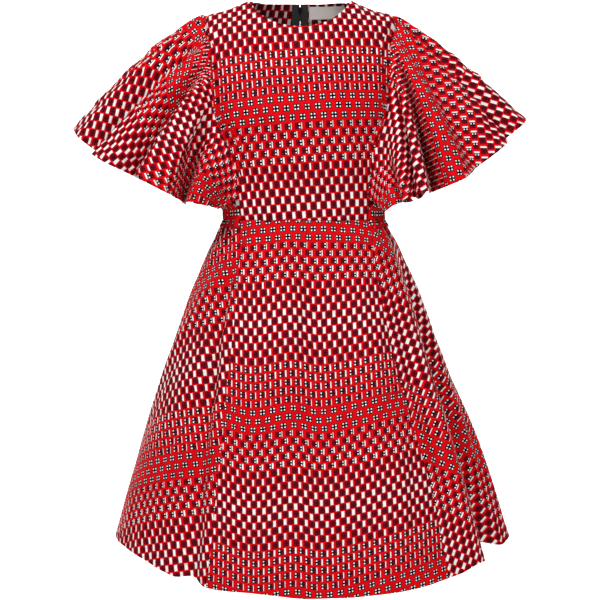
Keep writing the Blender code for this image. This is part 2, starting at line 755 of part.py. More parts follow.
def new_collection(name):
    made = bpy.data.collections.new(name)
    bpy.context.scene.collection.children.link(made)
    return made


for old in list(bpy.data.objects):
    bpy.data.objects.remove(old, do_unlink=True)
parts = new_collection("wax_print_dress")
cutters = new_collection("cutters")

wax_cotton = material("wax print cotton", PRINT_RED, 0.72)
zip_tape = material("black woven tape", TAPE_BLACK, 0.85)
zip_nylon = material("black nylon", PULL_BLACK, 0.45)
label_satin = material("grey satin", LABEL_GREY, 0.5)

build_bodice(wax_cotton)
build_skirt(wax_cotton)
build_casings(wax_cotton)
build_sleeves(wax_cotton)
build_zip(zip_tape, zip_nylon)
build_slider(zip_nylon)
build_label(label_satin)
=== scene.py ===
"""The looks of a knee-length wax print dress: its printed cotton, zip, label and stitching.

Metres, +Z up, the front faces -Y, and left and right are a viewer's who faces the front.
"""

import math
from collections import namedtuple

import bmesh
import bpy
import numpy as np
from bpy.props import FloatProperty, FloatVectorProperty, PointerProperty
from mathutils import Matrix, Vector


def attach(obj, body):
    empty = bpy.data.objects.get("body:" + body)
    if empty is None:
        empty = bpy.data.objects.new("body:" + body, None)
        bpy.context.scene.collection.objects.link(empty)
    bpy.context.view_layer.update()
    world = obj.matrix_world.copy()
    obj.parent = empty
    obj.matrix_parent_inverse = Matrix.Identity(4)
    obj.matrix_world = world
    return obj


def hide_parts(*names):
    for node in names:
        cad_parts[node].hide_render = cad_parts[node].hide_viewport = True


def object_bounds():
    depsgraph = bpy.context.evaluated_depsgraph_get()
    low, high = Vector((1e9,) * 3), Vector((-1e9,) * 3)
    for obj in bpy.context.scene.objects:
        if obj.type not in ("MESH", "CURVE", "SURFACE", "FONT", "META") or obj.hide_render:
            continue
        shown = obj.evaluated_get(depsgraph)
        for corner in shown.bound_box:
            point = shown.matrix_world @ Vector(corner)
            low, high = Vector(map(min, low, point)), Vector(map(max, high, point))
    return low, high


bl_info = {
    "name": "Wax print dress",
    "version": (1, 0, 0),
    "blender": (4, 5, 0),
    "location": "3D View > Sidebar > Dress",
    "description": "Makes the cloth, zip, label and stitching of a wax print dress",
    "category": "Object",
}

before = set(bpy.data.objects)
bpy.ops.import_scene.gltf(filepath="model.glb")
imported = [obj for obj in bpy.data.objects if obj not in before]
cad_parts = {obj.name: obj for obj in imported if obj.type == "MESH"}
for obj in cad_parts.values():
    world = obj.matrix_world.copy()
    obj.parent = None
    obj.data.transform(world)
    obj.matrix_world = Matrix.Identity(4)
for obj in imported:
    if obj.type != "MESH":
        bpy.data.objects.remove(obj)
cad_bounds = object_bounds()
body = "dress"

RIGHT_ANGLE = math.pi / 2
FULL_TURN = 2 * math.pi
TINY = 1e-12
CLOTH_SHARP = math.radians(50)
SLIDER_SHARP = math.radians(40)
NEARLY_FLAT = math.radians(1)
MERGE_REACH = 1e-6

# A Mix node's two colours and its mixed colour, by their places among its sockets
MIX_FROM = 6
MIX_TO = 7
MIXED = 2
SIDES = (("left", -1), ("right", 1))

# The dress's own sizes, as in the solids, in metres
CAD_CLOTH = 0.0016
SLOPE_STEP = 0.004
NORMAL_RISE = 0.02
LAP_GAP = 0.0003
BACK_SLIT = 0.0020
TAPE_WIDTH = 0.0145
TAPE_GAP = 0.0008
TAPE_THICKNESS = 0.0008
ZIP_END_ROW = 2.0
COIL_START_ROW = 0.66
LABEL_NEAR_X = 0.0165
LABEL_FAR_X = 0.0800
LABEL_TOP_ROW = 0.16
LABEL_LOW_ROW = 0.98
LABEL_THICKNESS = 0.0007
BODICE_SQUARENESS = 0.85
HEM_SQUARENESS = 1.0
MIDDLE_POWER = 1.5

# Each row is one section round the body, from the top down. The last four numbers are the degrees
# from the centre front, or the centre back, to the edge of a front or back panel.
Section = namedtuple(
    "Section",
    "name centre_x front_y front_z side_x side_z back_y back_z"
    " front_left front_right back_left back_right",
)
BODICE = (
    Section("neck edge", 0, -0.072, -0.056, 0.088, -0.003, 0.066, 0.000, 90, 90, 90, 90),
    Section("mid shoulder", 0, -0.078, -0.070, 0.128, -0.0195, 0.076, -0.026, 90, 90, 90, 90),
    Section("shoulder tip", 0, -0.086, -0.087, 0.163, -0.031, 0.086, -0.048, 90, 90, 90, 90),
    Section("upper armhole", 0, -0.098, -0.118, 0.170, -0.080, 0.098, -0.088, 66, 66, 67, 67),
    Section("across chest", 0, -0.112, -0.160, 0.168, -0.132, 0.105, -0.136, 65, 65, 66, 66),
    Section("underarm", 0, -0.123, -0.208, 0.163, -0.197, 0.104, -0.200, 65, 65, 66, 66),
    Section("under bust", 0.003, -0.118, -0.272, 0.152, -0.268, 0.096, -0.268, 53, 53, 56, 56),
    Section("above waist", 0.006, -0.107, -0.332, 0.141, -0.330, 0.088, -0.330, 51, 51, 52, 52),
    Section("waist seam", 0.007, -0.102, -0.386, 0.137, -0.384, 0.086, -0.384, 50, 50, 50, 50),
)
UNDERARM = 5
WAIST = len(BODICE) - 1

SKIRT = (
    Section("waist seam", 0.007, -0.102, -0.3868, 0.137, -0.3848, 0.086, -0.3848, 50, 50, 50, 50),
    Section("high hip", 0.008, -0.119, -0.432, 0.163, -0.430, 0.108, -0.430, 40, 44, 44, 44),
    Section("hip", 0.009, -0.140, -0.502, 0.195, -0.496, 0.136, -0.498, 34, 38, 39, 39),
    Section("below hip", 0.009, -0.168, -0.606, 0.231, -0.592, 0.168, -0.598, 31, 37.6, 37, 37),
    Section("thigh", 0.012, -0.198, -0.730, 0.272, -0.708, 0.200, -0.716, 30, 39.2, 36, 36),
    Section("above knee", 0.015, -0.226, -0.866, 0.313, -0.830, 0.228, -0.842, 29.3, 41.6, 36, 36),
    Section("hem", 0.018, -0.252, -0.997, 0.348, -0.948, 0.250, -0.966, 29.8, 41.6, 36, 36),
)
HEM = len(SKIRT) - 1

# Angles are degrees from the centre front. A fold starts at one row of the table and is full at
# another, keeps a share of its depth at the hem, and draws the hem up.
SkirtFold = namedtuple(
    "SkirtFold", "name waist_angle hem_angle depth half_width start full hem_share lift"
)
SKIRT_FOLDS = (
    SkirtFold("left side swell", -62, -60, 0.002, 30, 1.0, 5.0, 1.0, 0.012),
    SkirtFold("left seam tuck", -45, -35.5, -0.017, 6.0, 0.5, 3.5, 1.0, 0.006),
    SkirtFold("left front swell", -12, -14, 0.007, 16, 0.8, 2.6, 0.35, 0.005),
    SkirtFold("front valley", 3, 5, -0.011, 8, 0.8, 2.8, 0.30, 0.0),
    SkirtFold("right front swell", 27, 28, 0.008, 12, 0.8, 3.0, 0.60, 0.0),
    SkirtFold("right side crest", 55, 53, 0.011, 8, 1.0, 5.0, 1.0, 0.008),
    SkirtFold("right side valley", 72, 66, -0.066, 9, 1.0, 5.0, 1.0, 0.016),
    SkirtFold("right back crest", 92, 83, 0.010, 11, 3.0, 6.0, 1.0, 0.004),
    SkirtFold("right back valley", 117, 118, -0.024, 12, 1.0, 5.5, 1.0, 0.010),
    SkirtFold("right back swell", 140, 141, 0.012, 12, 1.5, 5.5, 1.0, 0.0),
    SkirtFold("centre back valley", 161, 162, -0.016, 11, 2.4, 5.5, 1.0, 0.004),
    SkirtFold("left back valley", -160, -158, -0.020, 12, 2.4, 5.5, 1.0, 0.005),
    SkirtFold("left back swell", -138, -136, 0.012, 12, 1.5, 5.5, 1.0, 0.0),
    SkirtFold("left side valley", -115, -112, -0.026, 13, 1.0, 5.5, 1.0, 0.008),
)
SIDE_GATHERS = 8
BACK_GATHERS = 5
GATHER_DEPTH = 0.0034
SKIRT_FADE_ROW = 2.2
BODICE_FADE_ROWS = 1.4

# How far each line of the casing stands off the cloth, and how much further on its gathers
CasingRow = namedtuple("CasingRow", "name on row out ruffle")
CASING = (
    CasingRow("frill edge", "bodice", 7.50, 0.0105, 0.0035),
    CasingRow("frill middle", "bodice", 7.62, 0.0058, 0.0018),
    CasingRow("frill root", "bodice", 7.75, 0.0024, 0.0),
    CasingRow("waist", "bodice", 8.00, 0.0032, 0.0),
    CasingRow("lower edge", "skirt", 0.28, 0.0024, 0.0),
)
CASING_HEM = 0.003
CASING_SLIT_SHARE = 1.4
FRILL_HEIGHT = 0.022
FRILL_RIPPLE = 0.0016
FRILL_WAVE = 0.0125
FRILL_SEED = 40
CHANNEL_RIPPLE = 0.0006
CHANNEL_WAVE = 0.007
CHANNEL_SEED = 50
CASING_SINES = 4

# turn goes from the back waist (-0.36) over the shoulder (0) to the front waist (0.36), and
# seam_row is the bodice row where the sleeve is sewn on there
Strip = namedtuple("Strip", "name turn seam_row hem_x hem_y hem_z bulge")
LEFT_STRIPS = (
    Strip("back waist", -0.36, 7.35, 0.140, 0.094, -0.354, 0.002),
    Strip("low back", -0.27, 5.40, 0.205, 0.122, -0.346, 0.012),
    Strip("mid back", -0.18, 4.00, 0.285, 0.120, -0.304, 0.018),
    Strip("upper back", -0.09, 2.90, 0.352, 0.074, -0.262, 0.012),
    Strip("shoulder", 0.00, 1.93, 0.399, 0.000, -0.225, 0.018),
    Strip("upper front", 0.09, 2.90, 0.360, -0.080, -0.270, 0.014),
    Strip("mid front", 0.18, 4.00, 0.284, -0.132, -0.309, 0.018),
    Strip("low front", 0.27, 5.40, 0.192, -0.137, -0.352, 0.012),
    Strip("front waist", 0.36, 7.35, 0.138, -0.102, -0.366, 0.002),
)
RIGHT_STRIPS = (
    Strip("back waist", -0.36, 7.35, 0.150, 0.094, -0.354, 0.002),
    Strip("low back", -0.27, 5.40, 0.212, 0.122, -0.344, 0.012),
    Strip("mid back", -0.18, 4.00, 0.288, 0.120, -0.300, 0.018),
    Strip("upper back", -0.09, 2.90, 0.350, 0.074, -0.252, 0.010),
    Strip("shoulder", 0.00, 1.93, 0.399, 0.000, -0.210, 0.0105),
    Strip("upper front", 0.09, 2.40, 0.346, -0.086, -0.262, 0.011),
    Strip("mid front", 0.18, 2.85, 0.262, -0.140, -0.322, 0.014),
    Strip("gathered front", 0.25, 3.90, 0.202, -0.142, -0.340, 0.012),
    Strip("low front", 0.31, 5.60, 0.166, -0.132, -0.354, 0.008),
    Strip("front waist", 0.36, 7.35, 0.144, -0.104, -0.371, 0.002),
)
# The folds between the sleeves' lobes: lean is how far the cloth beside one laps over it
Valley = namedtuple("Valley", "turn half_width depth lean")
LEFT_VALLEYS = (
    Valley(-0.345, 0.022, 0.008, 0.000),
    Valley(-0.265, 0.036, 0.036, -0.006),
    Valley(-0.170, 0.038, 0.044, -0.012),
    Valley(-0.080, 0.034, 0.040, -0.014),
    Valley(0.072, 0.034, 0.048, 0.018),
    Valley(0.163, 0.038, 0.055, 0.016),
    Valley(0.258, 0.034, 0.048, 0.008),
    Valley(0.345, 0.022, 0.008, 0.000),
)
RIGHT_VALLEYS = (
    Valley(-0.345, 0.022, 0.008, 0.000),
    Valley(-0.260, 0.036, 0.038, -0.006),
    Valley(-0.164, 0.036, 0.042, -0.012),
    Valley(-0.078, 0.034, 0.038, -0.014),
    Valley(0.052, 0.030, 0.036, 0.018),
    Valley(0.128, 0.044, 0.018, 0.000),
    Valley(0.212, 0.032, 0.052, 0.010),
    Valley(0.268, 0.024, 0.024, 0.004),
    Valley(0.316, 0.022, 0.030, 0.003),
)
# Cloth tucked out of sight in the folds: where, how wide, and how many times the width shown
Tuck = namedtuple("Tuck", "turn half_width spare")
LEFT_TUCKS = (
    Tuck(-0.265, 0.030, 1.5),
    Tuck(-0.170, 0.030, 1.5),
    Tuck(-0.080, 0.030, 1.5),
    Tuck(0.080, 0.022, 0.6),
    Tuck(0.169, 0.022, 6.0),
    Tuck(0.272, 0.022, 0.3),
)
RIGHT_TUCKS = (
    Tuck(-0.260, 0.030, 1.5),
    Tuck(-0.164, 0.030, 1.5),
    Tuck(-0.078, 0.030, 1.5),
    Tuck(0.314, 0.018, 1.0),
)
SLEEVE_END = 0.36
# Thin cloth folds deeper, narrower and with less lap than the solids' thicker walls, and the
# depth of a fold draws the hem up
FOLD_DEEPER = 1.7
FOLD_NARROWER = 0.85
FOLD_PULL = 0.16
LEAN_SHARE = 0.6
# The sleeve's own edge sinks behind the bodice's at the seam, so no slit shows
SEAM_SINK = 1.8
SEAM_SINK_REACH = 0.015
FOLD_RISE = 0.8
NECK_PINCH = 0.16
BULGE_SKEW = 0.7
BULGE_ASIDE = 0.35
BULGE_FORE = 0.13
SEAM_LAP = 0.03

# The print, row by row down the cloth: one cycle of a common graded check. pitch is a row's
# height as a share of the mean one, block the share of it that the dark block takes, and white
# the share of a cell that the white bar beside the block takes, in the first and the last row.
# left and right say which half of the block is black with white dots, and not maroon.
PrintRows = namedtuple("PrintRows", "name rows pitch block white_first white_last left right")
PRINT = (
    PrintRows("dotted squares", 3, 1.093, 0.70, 0.00, 0.00, 1.0, 1.0),
    PrintRows("opening bars", 5, 0.966, 0.74, 0.06, 0.16, 0.0, 1.0),
    PrintRows("widening checks", 6, 0.947, 0.82, 0.16, 0.31, 0.0, 0.0),
    PrintRows("narrowing checks", 5, 0.947, 0.82, 0.29, 0.18, 0.0, 0.0),
    PrintRows("closing bars", 5, 1.093, 0.74, 0.16, 0.06, 1.0, 0.0),
)
PRINT_CYCLE = sum(rows.rows for rows in PRINT)
CYCLES_LAID = 9
CYCLES_ABOVE = 4
BLOCK_START = 0.02
DOT_RADIUS = 0.25
DYE_CREEP = 0.0008
DYE_LEAST = 0.88
DYE_MOST = 1.06
# How bright the inside faces are drawn: painted shade, as the cloth is printed alike on both sides
INSIDE_PAINTED_SHADE = 0.45

# Scales of the textures that draw the threads: the cotton's look 0.7 mm wide and the label's
# 0.6 mm, coarser than real ones so that they show. The tape's folds and ribs are in metres.
COTTON_THREADS = 227.37
SATIN_THREADS = 265.27
TAPE_FOLD = 0.0018
TAPE_RIB = 0.0011
TAPE_TONES = (0.010, 0.022)
TONE_SHARES = (0.82, 1.12)
ROUGHNESS_SPREAD = 0.06

# Where the print lies on each piece: a point of the piece by its x and z, how many degrees
# the print's rows climb to the right there, and the row and column of the print at it. tall
# stretches its rows, and crowd closes them up for each metre down the cloth.
PrintPlace = namedtuple("PrintPlace", "x z slant row column tall crowd", defaults=(1.0, 0.0))
PRINT_PLACES = {
    "bodice_front": PrintPlace(0.0, -0.198, 4, 1.4, 0.84, 1.02),
    "bodice_side_left": PrintPlace(-0.14, -0.30, 0, 9.0, 0.0),
    "bodice_side_right": PrintPlace(0.14, -0.30, 0, 9.0, 0.0),
    "bodice_back_left": PrintPlace(-0.06, -0.20, 0, 1.5, 0.0),
    "bodice_back_right": PrintPlace(0.06, -0.20, 0, 1.5, 0.5),
    "skirt_front": PrintPlace(0.0, -0.7031, -2.5, 1.25, 0.01, 0.931, 0.135),
    "skirt_side_left": PrintPlace(-0.22, -0.70, 17, -6.5, 0.0, 0.96),
    "skirt_side_right": PrintPlace(0.24, -0.70, -33.5, -4.0, 0.0, 0.96),
    "skirt_back_left": PrintPlace(-0.10, -0.70, -6, 1.5, 0.0, 0.96),
    "skirt_back_right": PrintPlace(0.10, -0.70, 6, 1.5, 0.0, 0.96),
    "waist_casing_left": PrintPlace(-0.13, -0.375, 0, 1.5, 0.0),
    "waist_casing_right": PrintPlace(0.14, -0.375, 0, 1.5, 0.0),
    "sleeve_left": PrintPlace(-0.212, -0.157, -64, 2.0, 0.0),
    "sleeve_right": PrintPlace(0.262, -0.262, 83, 2.6, 0.0),
}
# Where cloth lies in layers the foremost is meant: how much lying forward counts in finding it
FRONT_WEIGHT = 0.002

# How much further down the front's rows lie than level, where its cloth hangs in swags: x and
# that fall, in metres. It grows from the waist to the hem.
SKIRT_FRONT_SWAGS = (
    (-0.160, -0.016),
    (-0.130, -0.011),
    (-0.077, 0.002),
    (-0.007, -0.006),
    (0.030, 0.001),
    (0.080, -0.006),
    (0.120, -0.015),
    (0.165, -0.026),
    (0.230, -0.044),
)
SWAG_AT_WAIST = 0.1
SWAG_AT_HEM = 1.7

# Where a deep fold hides a join, the print beyond it lies some rows further on: the fold's
# place as a share of the piece's columns, how wide it is, and the rows
Slip = namedtuple("Slip", "share width rows")
PRINT_SLIPS = {
    "sleeve_left": Slip(0.610, 0.06, -4.0),
    "skirt_side_right": Slip(0.33, 0.06, 7.8),
}

# Laying a piece flat: rows and columns of the coarser grid, rounds, how hard each one pulls, the
# least turn of the ring it starts as, and the least share of its box that it fills
FLAT_ROWS = 40
FLAT_COLUMNS = 44
FLAT_SLEEVE_COLUMNS = 160
FLAT_ROUNDS = 1400
FLAT_PULL = 1.6
LEAST_TURN = 1e-3
LEAST_AREA_SHARE = 0.31

# Seams, hems and creases of the cotton, in metres
SEAM_WIDTH = 0.0024
PUCKER_WAVE = 0.0105
PUCKER_DRIFT = 0.043
PUCKER_UNEVEN = 2.0
PUCKER_DEPTH = 0.00022
PUCKER_REACH = 0.007
HEM_GROOVE = 0.00035
HEM_GROOVE_WIDTH = 0.0012
HEM_STEP = 0.0003
HEM_STEP_WIDTH = 0.002
HEM_PULL = 0.0003
HEM_PULL_WAVE = 0.013
HEM_PULL_DRIFT = 0.057
HEM_PULL_UNEVEN = 1.6
HEM_PULL_REACH = 0.009
NECK_HEM = 0.007
UNDERARM_HEM = 0.006
SOFT_CREASE = (0.075, 0.45)
FINE_CREASE = (0.028, 0.16)
FINE_SHARE = 0.35
FLAT_BESIDE_SEAM = 0.02
SKIRT_CREASES = 1.2
CASING_CREASES = 0.1
# Columns stand closer together beside the seams, where the cloth rolls in
EDGE_CROWDING = 0.66

ZIP_TOP_ROW = -0.03
COIL_POINTS = 4000
COIL_STEP = 0.01
COIL_OFFSET = 0.0008
COIL_HEIGHT = 0.0013
COIL_FILL = 0.72
COIL_ASIDE = 0.36
SLIDER_ROUNDING = 0.00022
STITCH_GAP_SHARE = 1.25
STITCH_RISE = 0.0001
THREAD_WIDTH = 0.00055
THREAD_HEIGHT = 0.00045

# The stage: paper that lies level and sweeps up behind the dress, and the lamps and camera, in
# metres and watts
PAPER_HALF_WIDTH = 8.0
PAPER_FRONT = -6.0
PAPER_HEIGHT = 6.0
SWEEP_START = 2.6
SWEEP_RADIUS = 1.2
DRESS_MIDDLE = (0.0, 0.0, -0.5)
Lamp = namedtuple("Lamp", "name place target size watts")
LAMPS = (
    Lamp("key", (-1.7, -1.9, 1.7), DRESS_MIDDLE, (0.5, 0.5), 58),
    Lamp("side fill", (1.5, -2.6, 1.2), DRESS_MIDDLE, (0.7, 0.7), 40),
    Lamp("front fill", (0.3, -3.0, 0.3), DRESS_MIDDLE, (0.8, 0.8), 10),
    Lamp("top", (0.1, -0.2, 2.0), DRESS_MIDDLE, (1.0, 1.0), 8),
    Lamp("back left", (-1.8, 1.6, 0.8), DRESS_MIDDLE, (1.4, 1.8), 10),
    Lamp("back right", (1.9, 1.5, 0.6), DRESS_MIDDLE, (1.4, 1.8), 10),
    Lamp("backdrop light", (0.0, 2.0, 1.8), (0.0, 3.8, -0.3), (3.5, 1.5), 260),
)
WORLD_LIGHT = 0.05
CAMERA_PLACE = (0.0, -2.4, -0.351)
CAMERA_TARGET = (0.0, 0.0, -0.529)
SENSOR_WIDTH = 36.0


def linear(colour):
    """Linear red, green and blue from an sRGB hex value."""
    shares = [int(colour[i : i + 2], 16) / 255 for i in (0, 2, 4)]
    return tuple(s / 12.92 if s <= 0.04045 else ((s + 0.055) / 1.055) ** 2.4 for s in shares)


class DressSizes(bpy.types.PropertyGroup):
    cloth: FloatProperty(
        name="Cloth",
        description="Thickness of the cotton, with its turned edges",
        default=0.0012,
        min=0.0005,
        max=CAD_CLOTH,
        unit="LENGTH",
    )
    seam_roll: FloatProperty(
        name="Seam roll",
        description="How far the cloth rolls in at a seam",
        default=0.0007,
        min=0.0,
        unit="LENGTH",
    )
    skirt_hem: FloatProperty(
        name="Skirt hem",
        description="Depth of the skirt's turned hem",
        default=0.020,
        min=0.004,
        unit="LENGTH",
    )
    sleeve_hem: FloatProperty(
        name="Sleeve hem",
        description="Depth of the sleeves' narrow hem",
        default=0.009,
        min=0.003,
        unit="LENGTH",
    )
    crease: FloatProperty(
        name="Creases",
        description="Depth of the soft creases in the hanging cloth",
        default=0.0011,
        min=0.0,
        unit="LENGTH",
    )
    stitch: FloatProperty(
        name="Stitch",
        description="Length of one stitch",
        default=0.0026,
        min=0.001,
        unit="LENGTH",
    )


class PrintSizes(bpy.types.PropertyGroup):
    cell_width: FloatProperty(
        name="Cell width",
        description="From one dark block of the print to the next along a row",
        default=0.0174,
        min=0.004,
        unit="LENGTH",
    )
    row_height: FloatProperty(
        name="Row height",
        description="From one row of the print to the next",
        default=0.0138,
        min=0.004,
        unit="LENGTH",
    )
    block: FloatProperty(
        name="Block",
        description="Share of a cell that its dark block takes",
        default=0.60,
        min=0.1,
        max=0.9,
        subtype="FACTOR",
    )
    red: FloatVectorProperty(
        name="Red",
        description="Ground colour of the print",
        subtype="COLOR",
        size=3,
        default=linear("e20210"),
        min=0.0,
        max=1.0,
    )
    maroon: FloatVectorProperty(
        name="Maroon",
        description="Colour of the print's maroon blocks",
        subtype="COLOR",
        size=3,
        default=linear("4c0210"),
        min=0.0,
        max=1.0,
    )
    maroon_dot: FloatVectorProperty(
        name="Maroon dot",
        description="Colour of the dots in the maroon blocks",
        subtype="COLOR",
        size=3,
        default=linear("8c0a20"),
        min=0.0,
        max=1.0,
    )
    black: FloatVectorProperty(
        name="Black",
        description="Colour of the print's dotted squares",
        subtype="COLOR",
        size=3,
        default=linear("0c0810"),
        min=0.0,
        max=1.0,
    )
    white: FloatVectorProperty(
        name="White",
        description="Colour of the unprinted bars and dots",
        subtype="COLOR",
        size=3,
        default=linear("fdf9f8"),
        min=0.0,
        max=1.0,
    )


class ZipSizes(bpy.types.PropertyGroup):
    tooth_pitch: FloatProperty(
        name="Tooth pitch",
        description="From one turn of the zip's coil to the next",
        default=0.0015,
        min=0.0008,
        unit="LENGTH",
    )
    tooth_width: FloatProperty(
        name="Tooth width",
        description="Length of one side's coil turns across the zip",
        default=0.0024,
        min=0.001,
        unit="LENGTH",
    )


class StageSizes(bpy.types.PropertyGroup):
    floor_below: FloatProperty(
        name="Floor below",
        description="How far the floor lies below the hem",
        default=0.42,
        min=0.0,
        unit="LENGTH",
    )
    lens: FloatProperty(
        name="Lens",
        description="Focal length of the camera, in millimetres",
        default=81.1,
        min=20,
    )


def through(places, values, at):
    """A smooth curve through the values, read at many places, and straight beyond its ends."""
    places = np.asarray(places, float)
    values = np.asarray(values, float)
    at = np.asarray(at, float)
    deep = (slice(None),) + (None,) * (values.ndim - 1)
    steps = np.diff(values, axis=0) / np.diff(places)[deep]
    same = steps[:-1] * steps[1:] > 0
    both = np.where(same, steps[:-1] + steps[1:], 1)
    middle = np.where(same, 2 * steps[:-1] * steps[1:] / both, 0)
    tangents = np.concatenate((steps[:1], middle, steps[-1:]))
    i = np.clip(np.searchsorted(places, at, side="right") - 1, 0, len(places) - 2)
    more = (...,) + (None,) * (values.ndim - 1)
    span = (places[i + 1] - places[i])[more]
    s = (at - places[i])[more] / span
    start = (1 + 2 * s) * (1 - s) ** 2 * values[i] + s * (1 - s) ** 2 * span * tangents[i]
    end = s * s * (3 - 2 * s) * values[i + 1] + s * s * (s - 1) * span * tangents[i + 1]
    inside = start + end
    before = values[0] + tangents[0] * (at - places[0])[more]
    after = values[-1] + tangents[-1] * (at - places[-1])[more]
    low = (at < places[0])[more]
    high = (at > places[-1])[more]
    return np.where(low, before, np.where(high, after, inside))


def column(table, name, at):
    return through(range(len(table)), [getattr(row, name) for row in table], at)


def power(base, exponent):
    return np.maximum(base, 0.0) ** exponent


def smooth_step(s):
    s = np.clip(s, 0.0, 1.0)
    return s * s * (3 - 2 * s)


def hump(s):
    """1 at 0, falling smoothly to 0 at -1 and 1."""
    return np.where(np.abs(s) < 1, (1 + np.cos(math.pi * np.clip(s, -1, 1))) / 2, 0.0)


def unit(vectors):
    return vectors / np.maximum(np.linalg.norm(vectors, axis=-1, keepdims=True), TINY)


def squareness_at(table, at):
    if table is BODICE:
        return BODICE_SQUARENESS
    return BODICE_SQUARENESS + (HEM_SQUARENESS - BODICE_SQUARENESS) * at / HEM


def section_point(table, angle, at):
    """Points on the body's sections: angle runs from the centre front, positive to the right."""
    angle, at = np.broadcast_arrays(np.asarray(angle, float), np.asarray(at, float))
    angle = (angle + math.pi) % FULL_TURN - math.pi
    squareness = squareness_at(table, at)
    away = np.abs(angle)
    across = np.sign(angle) * power(np.sin(away), squareness)
    toward = np.abs(np.cos(away))
    front = away <= RIGHT_ANGLE
    depth = np.where(front, column(table, "front_y", at), column(table, "back_y", at))
    middle_z = np.where(front, column(table, "front_z", at), column(table, "back_z", at))
    side_z = column(table, "side_z", at)
    x = column(table, "centre_x", at) + column(table, "side_x", at) * across
    y = depth * power(toward, squareness)
    z = side_z + (middle_z - side_z) * power(toward, MIDDLE_POWER)
    return np.stack((x, y, z), axis=-1)


def seam_angles(table, side, at):
    """The angles of the front and the back seam, without their sign."""
    word = "right" if side > 0 else "left"
    front = np.radians(column(table, f"front_{word}", at))
    back = math.pi - np.radians(column(table, f"back_{word}", at))
    return front, back


def outward(surface, a, b):
    """The unit normals of a surface of two numbers, away from the body's middle line."""
    along_a = surface(a + SLOPE_STEP, b) - surface(a - SLOPE_STEP, b)
    along_b = surface(a, b + SLOPE_STEP) - surface(a, b - SLOPE_STEP)
    normal = unit(np.cross(along_a, along_b))
    lean = surface(a, b)
    lean[..., 2] = NORMAL_RISE
    facing = np.sum(normal * lean, axis=-1, keepdims=True)
    return np.where(facing > 0, normal, -normal)


def sideways(surface, angle, at):
    """The outward normals laid level."""
    normal = outward(surface, angle, at)
    normal[..., 2] = 0
    return unit(normal)


def skirt_folds(angle, at):
    """How far the skirt's cloth stands out of its plain section, and how far up it is drawn."""
    degrees = np.degrees(angle)
    depth = np.zeros(np.broadcast(angle, at).shape)
    lift = np.zeros_like(depth)
    for fold in SKIRT_FOLDS:
        middle = fold.waist_angle + (fold.hem_angle - fold.waist_angle) * at / HEM
        apart = (degrees - middle + 180) % 360 - 180
        grown = smooth_step((at - fold.start) / (fold.full - fold.start))
        kept = 1 - (1 - fold.hem_share) * smooth_step((at - fold.full) / (HEM - fold.full + 0.5))
        depth += fold.depth * grown * kept * hump(apart / fold.half_width)
        lift += fold.lift * (at / HEM) ** 2 * hump(apart / fold.half_width)
    return depth, lift


def gather_wave(table, angle, at):
    """The wave of the waist's gathers, from 0 in a trough to 1 on a crest."""
    angle = (angle + math.pi) % FULL_TURN - math.pi
    wave = np.zeros(np.broadcast(angle, at).shape)
    for _, side in SIDES:
        front, back = seam_angles(table, side, at)
        away = angle * side
        width = np.maximum(back - front, TINY)
        flank = (1 - np.cos(FULL_TURN * SIDE_GATHERS * (away - front) / width)) / 2
        rear = (1 - np.cos(FULL_TURN * BACK_GATHERS * (away - back) / (math.pi - back))) / 2
        wave = np.where((away > front) & (away < back), flank, wave)
        wave = np.where(away >= back, rear, wave)
    return wave


def plain_bodice_point(angle, at):
    return section_point(BODICE, angle, at)


def plain_skirt_point(angle, at):
    return section_point(SKIRT, angle, at)


def bodice_point(angle, at):
    near_waist = 1 - smooth_step((WAIST - at) / BODICE_FADE_ROWS)
    depth = GATHER_DEPTH * gather_wave(BODICE, angle, at) * near_waist
    return plain_bodice_point(angle, at) + depth[..., None] * sideways(plain_bodice_point, angle, at)


def skirt_point(angle, at):
    near_waist = 1 - smooth_step(at / SKIRT_FADE_ROW)
    depth, lift = skirt_folds(angle, at)
    depth = depth + GATHER_DEPTH * gather_wave(SKIRT, angle, at) * near_waist
    point = plain_skirt_point(angle, at)
    point = point + depth[..., None] * sideways(plain_skirt_point, angle, at)
    point[..., 2] += lift
    return point


SURFACES = {
    "bodice": (BODICE, bodice_point, plain_bodice_point),
    "skirt": (SKIRT, skirt_point, plain_skirt_point),
}


def sleeve_base(strips, side, turn, reach):
    """The sleeve without its folds: reach is 0 at the seam and 1 at the hem."""
    turns = [strip.turn for strip in strips]
    read = {
        name: through(turns, [getattr(strip, name) for strip in strips], turn)
        for name in ("seam_row", "hem_x", "hem_y", "hem_z", "bulge")
    }
    row = read["seam_row"]
    front, back = seam_angles(BODICE, side, row)
    angle = side * np.where(turn < 0, back + SEAM_LAP, front - SEAM_LAP)
    seam = plain_bodice_point(angle, row)
    lift = (CAD_CLOTH + LAP_GAP) * (1 - SEAM_SINK * np.exp(-((reach / SEAM_SINK_REACH) ** 2)))
    seam = seam + outward(plain_bodice_point, angle, row) * lift[..., None]
    hem = np.stack((side * read["hem_x"], read["hem_y"], read["hem_z"]), axis=-1)
    chord = hem - seam
    away = np.stack(
        (np.full_like(row, BULGE_ASIDE * side), read["hem_y"] / BULGE_FORE, np.ones_like(row)), -1
    )
    share = np.sum(away * chord, -1, keepdims=True) / np.sum(chord * chord, -1, keepdims=True)
    away = unit(away - chord * share)
    skewed = power(reach, BULGE_SKEW)
    bulge = read["bulge"] * 4 * skewed * (1 - skewed)
    return seam + chord * reach[..., None] + away * bulge[..., None]


